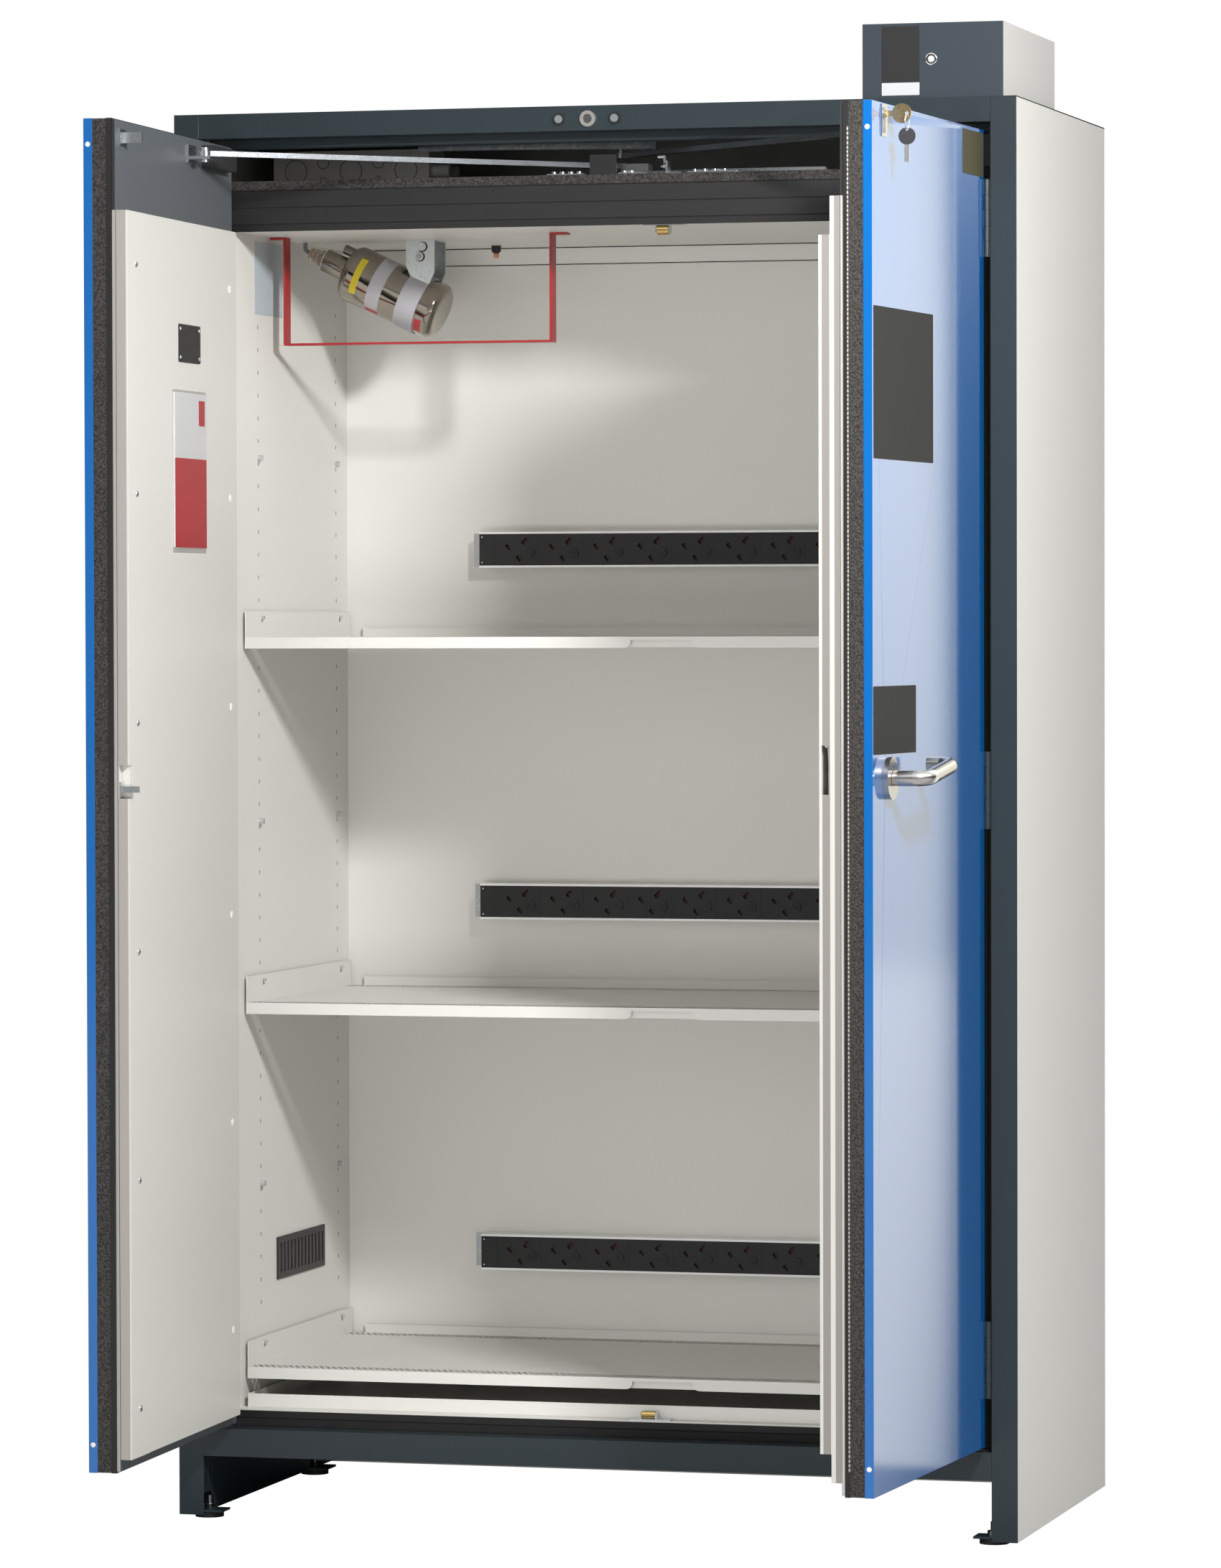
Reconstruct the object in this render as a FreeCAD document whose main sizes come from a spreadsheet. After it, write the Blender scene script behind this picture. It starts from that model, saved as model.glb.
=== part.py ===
import FreeCAD, Part
import math
import os
import re

from FreeCAD import Placement, Rotation, Vector

# Battery cabinet with two doors, millimetres, +Z up, front towards -Y.
# The origin lies on the floor, under the centre of the carcass.

os.makedirs("parts", exist_ok=True)
doc = FreeCAD.newDocument("battery_cabinet")

# Driving sizes
SIZES = {
    "cab_width": 1193, "cab_depth": 615, "cab_height": 1953, "sheet": 1.5, "skirt_gap": 4,
    "post_wide": 36, "post_depth": 38, "fascia_tall": 34, "bead_tall": 13, "bead_deep": 12,
    "body_gap": 19.5, "body_set_back": 45.5, "rear_gap": 2.5, "roof_drop": 91,
    "board": 50, "rear_board": 45, "ceiling_board": 67, "liner": 2, "seal": 2.5,
    "rail_low": 87, "rail_tall": 38.5, "slab_step": 10,
    "post_in": "cab_width/2-post_wide",
    "fascia_low": "cab_height-fascia_tall", "bead_low": "fascia_low-bead_tall",
    "rail_top": "rail_low+rail_tall", "slab_bed": "rail_low+slab_step", "roof_top": "cab_height-roof_drop",
    "body_front": "cab_depth/2-body_set_back", "body_side": "cab_width/2-body_gap",
    "bead_front": "body_front", "bead_back": "bead_front-bead_deep",
    "inner_half": "body_side-board-liner", "inner_back": "cab_depth/2-rear_gap-rear_board-liner",
    "inner_floor": "slab_bed+board+liner", "inner_top": "roof_top-ceiling_board-liner",

    "skin_deep": 12, "foam": 19, "band": 7, "back_plate": 4.5, "panel_thick": 14.5, "channel_thick": 15,
    "foam_deep": "skin_deep+foam", "seal_deep": "foam_deep+band", "leaf_deep": "seal_deep+back_plate",
    "panel_deep": "leaf_deep+panel_thick", "channel_deep": "panel_deep+channel_thick",
    "pin_off": 4, "pin_in": 3, "pin_out": 3.5, "meeting_gap": 4, "close_gap": 0.5,
    "pin_x": "post_in-pin_off", "pin_y": "body_front+seal+close_gap+leaf_deep+pin_out",
    "door_gap": 7.5, "door_drop": 46, "door_low": "rail_top+door_gap", "door_top": "cab_height-door_drop",
    "leaf_width": "pin_x-pin_in-meeting_gap",
    "panel_gap": 1.5, "panel_drop": 6, "panel_in": 31.5, "panel_edge": 3.5,
    "panel_low": "inner_floor+panel_gap", "panel_top": "inner_top-panel_drop", "panel_out": "leaf_width-panel_edge",
    "left_open": 87.6, "right_open": 87.2,
    "knuckle_r": 4.3, "hinge_pin_r": 2.5, "hinge_tall": 104, "run_fit": 0.05, "knuckle_gap": 0.4, "leaf_sheet": 1.8,
    "hinge_end": 118, "hinge_top": "door_top-hinge_end", "hinge_low": "door_low+hinge_end",
    "hinge_mid": "(hinge_top+hinge_low)/2",

    "rod_half": 3.5, "rod_pin_r": 3, "stay_u": 212, "stay_arm": 23.5, "stay_t": "leaf_deep+stay_arm",
    "left_rod_rise": 21, "right_rod_rise": 33,
    "left_rod_z": "roof_top+left_rod_rise", "right_rod_z": "roof_top+right_rod_rise",
    "left_rod_more": 72.5, "right_rod_more": 48.5,
    "left_rod_long": "pin_x+left_rod_more", "right_rod_long": "pin_x+right_rod_more",
    "left_rod_angle": 40.79, "right_rod_angle": 38.47, "slot_half": 5.8, "guide_wall": 3,

    "shelf_gap": 4, "shelf_step": 31, "shelf_rear_gap": 6, "flange_tall": 38, "lip_tall": 14,
    "shelf_half": "inner_half-shelf_gap", "shelf_front": "body_front-shelf_step",
    "shelf_back": "inner_back-shelf_rear_gap",
    "column_step": 105, "column_rear_step": 55,
    "column_front": "body_front-column_step", "column_back": "inner_back-column_rear_step",
    "shelf_first": 91, "shelf_spare": 108, "shelf_pitch": "(inner_top-inner_floor-shelf_spare)/3",
    "shelf_top_c": "inner_floor+shelf_first", "shelf_top_b": "shelf_top_c+shelf_pitch",
    "shelf_top_a": "shelf_top_b+shelf_pitch", "stud_rise": 216,
    "grille_step": 175, "grille_long": 218, "grille_tall": 60, "grille_rise": 73,
    "grille_front": "body_front-grille_step", "grille_low": "shelf_top_c+grille_rise",

    "strip_rise": 89.5, "strip_half": 26, "module_pitch": 66.3, "module_start": 287,
    "strip_a": "shelf_top_a+strip_rise", "strip_b": "shelf_top_b+strip_rise", "strip_c": "shelf_top_c+strip_rise",
    "rail_floor": 2, "strip_deep": 41, "socket_back": "inner_back-rail_floor", "socket_front": "inner_back-strip_deep",

    "can_radius": 41, "can_long": 153.5, "can_tilt": 24.6, "can_y": 30, "can_in": 76, "can_drop": 41,
    "can_x": "inner_half-can_in", "can_z": "inner_top-can_drop",
    "neck_radius": 16.5, "neck_long": 38, "gland_radius": 8, "gland_long": 25, "cable_radius": 3,
    "strap_wide": 42, "strap_in": 170, "strap_x": "inner_half-strap_in",
    "bar_wide": 24, "bar_thick": 3, "bar_tall": 153, "bar_in": 25, "bar_long": 391, "bar_y": 100,
    "bar_low": "inner_top-bar_tall", "bar_left": "inner_half-bar_in", "bar_right": "bar_left-bar_long",

    "junction_in": 32, "junction_wide": 231, "junction_tall": 58,
    "junction_x": "body_side-junction_in", "junction_end": "junction_x-junction_wide",
    "duct_gap": 19.5, "duct_wide": 194, "duct_step": 7.5, "duct_deep": 346, "duct_tall": 101,
    "duct_right": "cab_width/2-duct_gap", "duct_left": "duct_right-duct_wide",
    "duct_front": "cab_depth/2-duct_step", "duct_back": "duct_deep-duct_front", "duct_top": "cab_height+duct_tall",
    "fan_radius": 35, "fan_hub": 14, "fan_shaft": 3, "fan_rise": 50, "fan_z": "cab_height+fan_rise",

    "lamp_drop": 18, "lamp_z": "cab_height-lamp_drop", "lens_radius": 5.5, "lamp_ring": 8.5,
    "button_radius": 5.9, "button_play": 0.3, "bezel_radius": 11,
    "roller_pin_r": 2, "upper_roller_r": 6.5, "lower_roller_r": 5, "upper_roller_drop": 8.7, "lower_roller_rise": 7.5,
    "upper_roller_z": "inner_top-upper_roller_drop", "lower_roller_z": "inner_floor+lower_roller_rise",
    "roller_step": 6, "roller_y": "body_front-roller_step", "run_on_gap": 0.7,
    "foot_in": 37, "foot_front_step": 22.5, "foot_back_step": 113.5, "foot_radius": 20, "foot_tall": 7.5, "spindle_r": 5,
    "foot_x": "cab_width/2-foot_in", "foot_front": "cab_depth/2-foot_front_step",
    "foot_back": "cab_depth/2-foot_back_step",

    "handle_in": 65.8, "handle_rise": 914, "handle_u": "leaf_width-handle_in", "handle_z": "door_low+handle_rise",
    "rose_radius": 27.5, "rose_tall": 9, "lever_r": 10, "stem_r": 8,
    "lever_reach": 54, "lever_long": 125, "lever_tilt": 7.2, "lever_bend": 18, "lever_return": 34,
    "lock_in": 54.5, "lock_drop": 14, "plug_r": 5, "lock_proud": 4,
    "lock_u": "leaf_width-lock_in", "lock_z": "door_top-lock_drop",
    "hook_in": 37.5, "hook_rise": 5, "hook_step": 5, "hook_thick": 4, "hook_tilt": 75, "hook_pin_r": 2.5,
    "hook_u": "leaf_width-hook_in", "hook_z": "handle_z+hook_rise", "hook_t": "panel_deep+hook_step",
    "slot_low": "hook_z-25", "slot_top": "hook_z+38",
}
sizes = doc.addObject("Spreadsheet::Sheet", "Sizes")
for row, (name, value) in enumerate(SIZES.items(), 1):
    sizes.set(f"A{row}", name)
    sizes.setAlias(f"B{row}", name)
for row, value in enumerate(SIZES.values(), 1):
    sizes.set(f"B{row}", f"={value}")
doc.recompute()
NODES = []


def size(name):
    return float(sizes.get(name))


def expr(text):
    return re.sub(r"\b[a-z_]+\b", lambda m: "Sizes." + m.group() if m.group() in SIZES else m.group(), str(text))


def box(x0, x1, y0, y1, z0, z1):
    block = doc.addObject("Part::Box", "Block")
    for prop, axis, low, high in (("Length", "x", x0, x1), ("Width", "y", y0, y1), ("Height", "z", z0, z1)):
        block.setExpression(prop, expr(f"({high}) - ({low})"))
        block.setExpression(f".Placement.Base.{axis}", expr(low))
    return block


def side_box(side, x0, x1, y0, y1, z0, z1):
    if side > 0:
        return box(x0, x1, y0, y1, z0, z1)
    return box(f"-({x1})", f"-({x0})", y0, y1, z0, z1)


TURNS = {
    "+z": Rotation(), "-z": Rotation(Vector(1, 0, 0), 180),
    "+x": Rotation(Vector(0, 1, 0), 90), "-x": Rotation(Vector(0, 1, 0), -90),
    "+y": Rotation(Vector(1, 0, 0), -90), "-y": Rotation(Vector(1, 0, 0), 90),
}


def cyl(x, y, z, radius, tall, way="+z"):
    drum = doc.addObject("Part::Cylinder", "Drum")
    drum.Placement = Placement(Vector(), TURNS[way])
    drum.setExpression("Radius", expr(radius))
    drum.setExpression("Height", expr(tall))
    for axis, value in (("x", x), ("y", y), ("z", z)):
        drum.setExpression(f".Placement.Base.{axis}", expr(value))
    return drum


def fuse(*items):
    joined = doc.addObject("Part::MultiFuse", "Joined")
    joined.Shapes = list(items)
    return joined


def cut(base, *tools):
    result = doc.addObject("Part::Cut", "Trimmed")
    result.Base = base
    result.Tool = tools[0] if len(tools) == 1 else fuse(*tools)
    return result


def group(*items):
    held = doc.addObject("Part::Compound", "Held")
    held.Links = list(items)
    return held


def feature(shape):
    item = doc.addObject("Part::Feature", "Shape")
    item.Shape = shape
    return item


def node(name, item):
    item.Label = name
    NODES.append(item)
    return item


def outline_pad(points, thick, turn=Rotation(), at=(0, 0, 0)):
    body = doc.addObject("PartDesign::Body", "Plate")
    sketch = body.newObject("Sketcher::SketchObject", "Outline")
    plane = [f for f in body.Origin.OriginFeatures if f.Role == "XY_Plane"][0]
    sketch.AttachmentSupport = [(plane, "")]
    sketch.MapMode = "FlatFace"
    for start, end in zip(points, points[1:] + points[:1]):
        sketch.addGeometry(Part.LineSegment(Vector(*start, 0), Vector(*end, 0)), False)
    pad = body.newObject("PartDesign::Pad", "Thickness")
    pad.Profile = sketch
    pad.setExpression("Length", expr(thick))
    body.Placement = Placement(Vector(*at), turn)
    return body


FRONT = "-cab_depth/2"
BACK = "cab_depth/2"
HALF = "cab_width/2"
TOP = "cab_height-sheet"

# Outer sheet metal
for side, word in ((-1, "left"), (1, "right")):
    wall = side_box(side, f"{HALF}-sheet", HALF, f"{FRONT}+sheet", f"{BACK}-sheet", "skirt_gap", TOP)
    lip = side_box(side, f"{HALF}-22", f"{HALF}-sheet", f"{FRONT}+60", f"{BACK}-8", f"{TOP}-sheet", TOP)
    node(f"side_panel_{word}", fuse(wall, lip))
rear = box(f"-{HALF}", HALF, f"{BACK}-sheet", BACK, "skirt_gap", TOP)
rear_lip = box(f"-{HALF}+30", f"{HALF}-30", f"{BACK}-24", f"{BACK}-sheet", f"{TOP}-sheet", TOP)
node("rear_panel", fuse(rear, rear_lip))
lid = box(f"-{HALF}", HALF, FRONT, BACK, TOP, "cab_height")
lid_hole = box("duct_left+20", "duct_right-20", "-duct_front+60", "duct_back-30", f"{TOP}-1", "cab_height+1")
node("top_panel", cut(lid, lid_hole))


def post(side):
    face = side_box(side, "post_in", HALF, FRONT, f"{FRONT}+sheet", "skirt_gap", TOP)
    outer = side_box(side, f"{HALF}-2*sheet", f"{HALF}-sheet", f"{FRONT}+sheet", f"{FRONT}+28", "skirt_gap+8", TOP)
    inner = side_box(side, "post_in", "post_in+sheet", f"{FRONT}+sheet", f"{FRONT}+post_depth", "34", TOP)
    slots = [
        side_box(side, "post_in-1", "post_in+sheet+1", f"{FRONT}+12", f"{FRONT}+18", low, low + 18)
        for low in (42, 66)
    ]
    return cut(fuse(face, outer, inner), *slots)


node("front_posts", group(post(-1), post(1)))

fascia = fuse(
    box("-post_in", "post_in", FRONT, f"{FRONT}+sheet", "fascia_low", TOP),
    box("-post_in", "post_in", f"{FRONT}+sheet", "-bead_back", "fascia_low", "fascia_low+sheet"),
    box("-post_in", "post_in", "-bead_front", "-bead_back", "(bead_low+fascia_low)/2", "fascia_low"),
    cyl("-post_in", "-(bead_front+bead_back)/2", "bead_low+(bead_front-bead_back)/2",
        "(bead_front-bead_back)/2", "2*post_in", "+x"),
)
node("top_fascia", cut(
    fascia,
    cyl(0, f"{FRONT}-1", "lamp_z", "button_radius+button_play", "sheet+2", "+y"),
))

# Base frame with the plates that carry the feet
front_rail = fuse(
    box("-post_in", "post_in", FRONT, f"{FRONT}+sheet", "rail_low", "rail_top"),
    box("-post_in", "post_in", f"{FRONT}+sheet", f"{FRONT}+post_depth", "rail_top-sheet", "rail_top"),
    box("-post_in", "post_in", f"{FRONT}+sheet", f"{FRONT}+16", "rail_low", "rail_low+sheet"),
)
rear_rail = fuse(
    box("-post_in", "post_in", f"{BACK}-2*sheet", f"{BACK}-sheet", "8", "slab_bed"),
    box("-post_in+30", "post_in-30", f"{BACK}-36", f"{BACK}-2*sheet", "slab_bed-sheet", "slab_bed"),
)


def beam(side):
    start = f"{FRONT}+post_depth"
    end = f"{BACK}-sheet"
    parts = [
        side_box(side, "post_in", "post_in+sheet", start, end, "8", "slab_bed"),
        side_box(side, "post_in+sheet", f"{HALF}-sheet", start, end, "8", "8+sheet"),
        side_box(side, "post_in+sheet", f"{HALF}-sheet", start, end, "slab_bed-sheet", "slab_bed"),
        side_box(side, "post_in-30", "post_in", start, f"{BACK}-2*sheet", "slab_bed-sheet", "slab_bed"),
        side_box(side, "foot_x-25", f"{HALF}-2*sheet", f"{FRONT}+sheet", start, "8", "11"),
        side_box(side, "foot_x-25", f"{HALF}-sheet", "foot_back-24", "foot_back+24", "8", "11"),
    ]
    foot = side * size("foot_x")
    holes = [
        side_box(side, "post_in-1", "post_in+sheet+1", "foot_back-20", "foot_back+20", "11", "36"),
        cyl(f"{side}*foot_x", "-foot_front", 7, "spindle_r+run_fit", 5),
        cyl(f"{side}*foot_x", "foot_back", 7, "spindle_r+run_fit", 5),
    ]
    return cut(fuse(*parts), *holes)


node("base_frame", group(front_rail, rear_rail, beam(-1), beam(1)))

for side, word in ((-1, "left"), (1, "right")):
    for y, where in (("-foot_front", "front"), ("foot_back", "rear")):
        pad = cyl(f"{side}*foot_x", y, 0, "foot_radius", "foot_tall")
        spindle = cyl(f"{side}*foot_x", y, "foot_tall", "spindle_r", 22)
        nut = doc.addObject("Part::Prism", "Nut")
        nut.Polygon = 6
        nut.Circumradius = 9.5
        nut.Height = 6
        nut.setExpression(".Placement.Base.x", expr(f"{side}*foot_x"))
        nut.setExpression(".Placement.Base.y", expr(y))
        nut.Placement.Base.z = 11.4
        node(f"levelling_foot_{where}_{word}", fuse(pad, spindle, nut))

# Insulated inner body
slab_front = "-body_front"
slab_back = f"{BACK}-2.5"
slabs = [
    box("-body_side", "body_side", slab_front, slab_back, "slab_bed", "inner_floor-liner"),
    box("-body_side", "body_side", slab_front, slab_back, "inner_top+liner", "roof_top"),
    box("-inner_half-liner", "inner_half+liner", "inner_back+liner", slab_back, "inner_floor-liner", "inner_top+liner"),
]
for side in (-1, 1):
    slabs.append(side_box(side, "inner_half+liner", "body_side", slab_front, slab_back,
                          "inner_floor-liner", "inner_top+liner"))
node("insulation_boards", group(*slabs))
for side, word in ((-1, "left"), (1, "right")):
    node(f"liner_{word}", side_box(side, "inner_half", "inner_half+liner", slab_front, "inner_back",
                                   "inner_floor", "inner_top"))
node("liner_rear", group(
    box("-inner_half-liner", "inner_half+liner", "inner_back", "inner_back+liner", "inner_floor", "inner_top"),
    fuse(box("-inner_half", "inner_half", "inner_back-18", "inner_back-16.5", "inner_top-26", "inner_top"),
         box("-inner_half", "inner_half", "inner_back-18", "inner_back", "inner_top-26", "inner_top-24.5")),
))
node("liner_ceiling", box("-inner_half-liner", "inner_half+liner", slab_front, "inner_back+liner",
                          "inner_top", "inner_top+liner"))
node("liner_floor", box("-inner_half-liner", "inner_half+liner", slab_front, "inner_back+liner",
                        "inner_floor-liner", "inner_floor"))


def ring(half_out, low_out, top_out, half_in, low_in, top_in):
    y0, y1 = "-body_front-seal", "-body_front"
    outer = box(f"-({half_out})", half_out, y0, y1, low_out, top_out)
    return cut(outer, box(f"-({half_in})", half_in, f"{y0}-1", f"{y1}+1", low_in, top_in))


node("frame_seals", group(
    ring("body_side", "slab_bed", "roof_top", "body_side-14", "slab_bed+13", "roof_top-13.4"),
    ring("body_side-14", "slab_bed+13", "roof_top-13.4", "body_side-29", "slab_bed+28", "roof_top-37"),
    ring("body_side-29", "slab_bed+28", "roof_top-37", "body_side-40", "slab_bed+40", "inner_top+9"),
    ring("body_side-40", "slab_bed+40", "inner_top+9", "inner_half+liner", "inner_floor-liner", "inner_top-liner+1"),
))


# Shelves, studs, tray
def shelf(top):
    flat = f"{top}-flange_tall"
    deck = box("-shelf_half", "shelf_half", "-shelf_front", "shelf_back", flat, f"{flat}+sheet")
    parts = [
        deck,
        box("-shelf_half", "shelf_half", "-shelf_front", "-shelf_front+sheet", f"{flat}-lip_tall", flat),
        box("-shelf_half+22", "shelf_half-22", "shelf_back-sheet", "shelf_back", f"{flat}+sheet", f"{flat}+lip_tall"),
        box(30, 133, "-shelf_front+6", "-shelf_front+6+sheet", f"{flat}-lip_tall+1", flat),
    ]
    slots = [box(38, 125, "-shelf_front-1", "-shelf_front+sheet+1", f"{flat}-lip_tall-1", f"{flat}-3")]
    for corner, way in ((38, -1), (125, 1)):
        ends = sorted((corner, corner + 9 * way))
        square = box(ends[0], ends[1], "-shelf_front-1", "-shelf_front+sheet+1", f"{flat}-lip_tall-1",
                     f"{flat}-lip_tall+9")
        drum = cyl(corner + 9 * way, "-shelf_front-2", f"{flat}-lip_tall+9", 9, "sheet+4", "+y")
        slots.append(cut(square, drum))
    for side in (-1, 1):
        parts.append(side_box(side, "shelf_half-sheet", "shelf_half", "-shelf_front", "shelf_back",
                              f"{flat}+sheet", top))
        for column in ("-column_front", "column_back"):
            slots.append(side_box(side, "shelf_half-sheet-1", "shelf_half+1", f"{column}-3.5", f"{column}+3.5",
                                  f"{top}-15", f"{top}-6"))
    return cut(fuse(*parts), *slots)


LEVELS = ("shelf_top_a", "shelf_top_b", "shelf_top_c")
for top, word in zip(LEVELS, ("upper", "middle", "lower")):
    node(f"shelf_{word}", shelf(top))
studs = []
for side in (-1, 1):
    for column in ("-column_front", "column_back"):
        for top in LEVELS:
            studs.append(side_box(side, "shelf_half-sheet-3", "inner_half", f"{column}-2.5", f"{column}+2.5",
                                  f"{top}-11", f"{top}-6"))
            way = "-x" if side > 0 else "+x"
            studs.append(cyl(f"{side}*inner_half", column, f"{top}+stud_rise", 4, 7, way))
node("shelf_studs", group(*studs))
tray_front, tray_back = "-body_front+22", "inner_back-8"
tray = box("-inner_half+7", "inner_half-7", tray_front, tray_back, "inner_floor", "inner_floor+19")
node("sump_tray", cut(tray, box("-inner_half+7+sheet", "inner_half-7-sheet", f"{tray_front}+sheet",
                                f"{tray_back}-sheet", "inner_floor+sheet", "inner_floor+20")))

grille = box("-inner_half", "-inner_half+2.5", "-grille_front", "-grille_front+grille_long", "grille_low",
             "grille_low+grille_tall")
louvres = [
    box("-inner_half-1", "-inner_half+3.5", f"-grille_front+{9 + 16 * i}", f"-grille_front+{17 + 16 * i}",
        "grille_low+9", "grille_low+51")
    for i in range(13)
]
node("vent_grille", cut(grille, *louvres))

# Socket strips
STRIPS = ("strip_a", "strip_b", "strip_c")
rails = []
for mid in STRIPS:
    left, right = "-module_start-24", "module_start+47"
    rails.append(fuse(
        box(left, right, "socket_back", "inner_back", f"{mid}-strip_half", f"{mid}+strip_half"),
        box(left, right, "socket_front-1", "socket_back", f"{mid}+strip_half-3", f"{mid}+strip_half"),
        box(left, right, "socket_front-1", "socket_back", f"{mid}-strip_half", f"{mid}-strip_half+3"),
    ))
    bracket = fuse(
        box("-module_start-43", "-module_start-24", "inner_back-sheet", "inner_back", f"{mid}-24", f"{mid}+24"),
        box("-module_start-25.5", "-module_start-24", "inner_back-30", "inner_back-sheet", f"{mid}-24", f"{mid}+24"),
    )
    screws = [cyl("-module_start-34", "inner_back-sheet-1", f"{mid}{step}", 2.5, "sheet+2", "+y")
              for step in ("-14", "+14")]
    rails.append(cut(bracket, *screws))
node("socket_rails", group(*rails))


def socket_module():
    front, back = size("socket_front"), size("socket_back")
    wide, half = size("module_pitch") - 0.3, size("strip_half") - 3.3
    block = Part.makeBox(wide, back - front, 2 * half, Vector(0, front, -half))
    slots = []
    for x, z, w, h, turn in ((20, 4, 5, 9, -45), (36, -13, 5, 9, -45), (45, 12, 6, 11, 45)):
        slot = Part.makeBox(w, 9, h, Vector(-w / 2, front - 1, -h / 2))
        slot.rotate(Vector(), Vector(0, 1, 0), turn)
        slot.translate(Vector(x, 0, z))
        slots.append(slot)
    fuse_cap = Part.makeCylinder(7.5, 2, Vector(52, front, -5), Vector(0, -1, 0))
    return block.cut(slots).fuse(fuse_cap)


one = socket_module()
blocks = []
for mid in STRIPS:
    for i in range(9):
        blocks.append(one.translated(Vector(-size("module_start") + i * size("module_pitch"), 0, size(mid))))
    half = size("strip_half") - 3.3
    deep = size("socket_back") - size("socket_front")
    ends = (-size("module_start") - 23.7, size("module_start") + 23.5)
    for x in ends:
        blocks.append(Part.makeBox(23.3, deep, 2 * half, Vector(x, size("socket_front"), size(mid) - half)))
node("socket_modules", feature(Part.makeCompound(blocks)))

# Extinguisher with its bracket, guard bar and cable
CAN = Placement(Vector(-size("can_x"), size("can_y"), size("can_z")), Rotation(Vector(0, 1, 0), size("can_tilt")))
drum = Part.makeCylinder(size("can_radius"), size("can_long"), Vector(), Vector(1, 0, 0))
drum = drum.makeFillet(12, [e for e in drum.Edges if isinstance(e.Curve, Part.Circle)])
neck = Part.makeCylinder(size("neck_radius"), size("neck_long") + 1, Vector(1, 0, 0), Vector(-1, 0, 0))
gland_at = -size("neck_long")
gland = Part.makeCylinder(size("gland_radius"), size("gland_long"), Vector(gland_at, 0, 0), Vector(-1, 0, 0))
collar = Part.makeCylinder(10.5, 10, Vector(gland_at, 0, 0), Vector(-1, 0, 0))
valve = Part.makeCylinder(7, 22, Vector(4, 0, 26), Vector(-1, 0, 0))
canister = feature(drum.fuse([neck, gland, collar, valve]).removeSplitter())
canister.Placement = CAN
node("extinguisher_canister", canister)

strap_r = size("can_radius") + 0.2
strap = Part.makeCylinder(strap_r + 2, 30, Vector(96, 0, 0), Vector(1, 0, 0)).cut(
    Part.makeCylinder(strap_r, 32, Vector(95, 0, 0), Vector(1, 0, 0)))
strap.Placement = CAN
near, far = size("can_y") - 28.5, size("can_y") + 26
ceiling = size("inner_top")
low_left = CAN.multVec(Vector(96, 0, 32))
low_right = CAN.multVec(Vector(126, 0, 32))
strap_x = -size("strap_x")
strap_end = strap_x + size("strap_wide")
cheek_points = [(strap_x, ceiling), (strap_end, ceiling), (strap_end, ceiling - 46), (low_right.x, low_right.z),
                (low_left.x, low_left.z), (strap_x, ceiling - 36)]
cheeks = []
for y in (near, far):
    edge = Part.makePolygon([Vector(x, y, z) for x, z in cheek_points + cheek_points[:1]])
    cheeks.append(Part.Face(edge).extrude(Vector(0, 2.5, 0)))
bridge = Part.makeBox(size("strap_wide"), far + 2.5 - near, 2, Vector(strap_x, near, ceiling - 2))
bolts = [
    Part.makeCylinder(6, 4, Vector(strap_x + x, near, ceiling - drop), Vector(0, -1, 0))
    for x, drop in ((25, 10), (21, 24))
]
node("extinguisher_bracket", feature(strap.fuse(cheeks + [bridge] + bolts).removeSplitter()))

gland_end = CAN.multVec(Vector(gland_at - size("gland_long"), 0, 0))
way = CAN.Rotation.multVec(Vector(-1, 0, 0))
turn_at = gland_end + way * 9
exit_at = Vector(turn_at.x, turn_at.y, ceiling)
short = min((turn_at - gland_end).Length, (exit_at - turn_at).Length)
rise = (exit_at - turn_at).normalize()
half_turn = math.acos(max(-1, min(1, way.dot(rise)))) / 2
reach = 0.45 * short
bend = reach / math.tan(half_turn)
start, stop = turn_at - way * reach, turn_at + rise * reach
middle = (rise - way).normalize()
centre = turn_at + middle * math.hypot(bend, reach)
arc_mid = centre - middle * bend
spine = Part.Wire([
    Part.makeLine(gland_end, start),
    Part.Arc(start, arc_mid, stop).toShape(),
    Part.makeLine(stop, exit_at),
])
print("cable bend radius", round(bend, 2), "tube radius", size("cable_radius"))
print("cable points", [tuple(round(c, 3) for c in p) for p in (gland_end, turn_at, exit_at)])
section = Part.Wire([Part.makeCircle(size("cable_radius"), gland_end, way)])
node("extinguisher_cable", feature(spine.makePipeShell([section], True, False)))

bar_y0, bar_y1 = "-bar_y-bar_wide/2", "-bar_y+bar_wide/2"
node("guard_bar", fuse(
    box("-bar_left-bar_thick/2", "-bar_left+bar_thick/2", bar_y0, bar_y1, "bar_low", "inner_top"),
    box("-bar_right-bar_thick/2", "-bar_right+bar_thick/2", bar_y0, bar_y1, "bar_low", "inner_top"),
    box("-bar_left-bar_thick/2", "-bar_right+bar_thick/2", bar_y0, bar_y1, "bar_low", "bar_low+bar_thick"),
    box("-bar_left-22", "-bar_left", bar_y0, bar_y1, "inner_top-bar_thick", "inner_top"),
    box("-bar_right", "-bar_right+22", bar_y0, bar_y1, "inner_top-bar_thick", "inner_top"),
))

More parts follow.
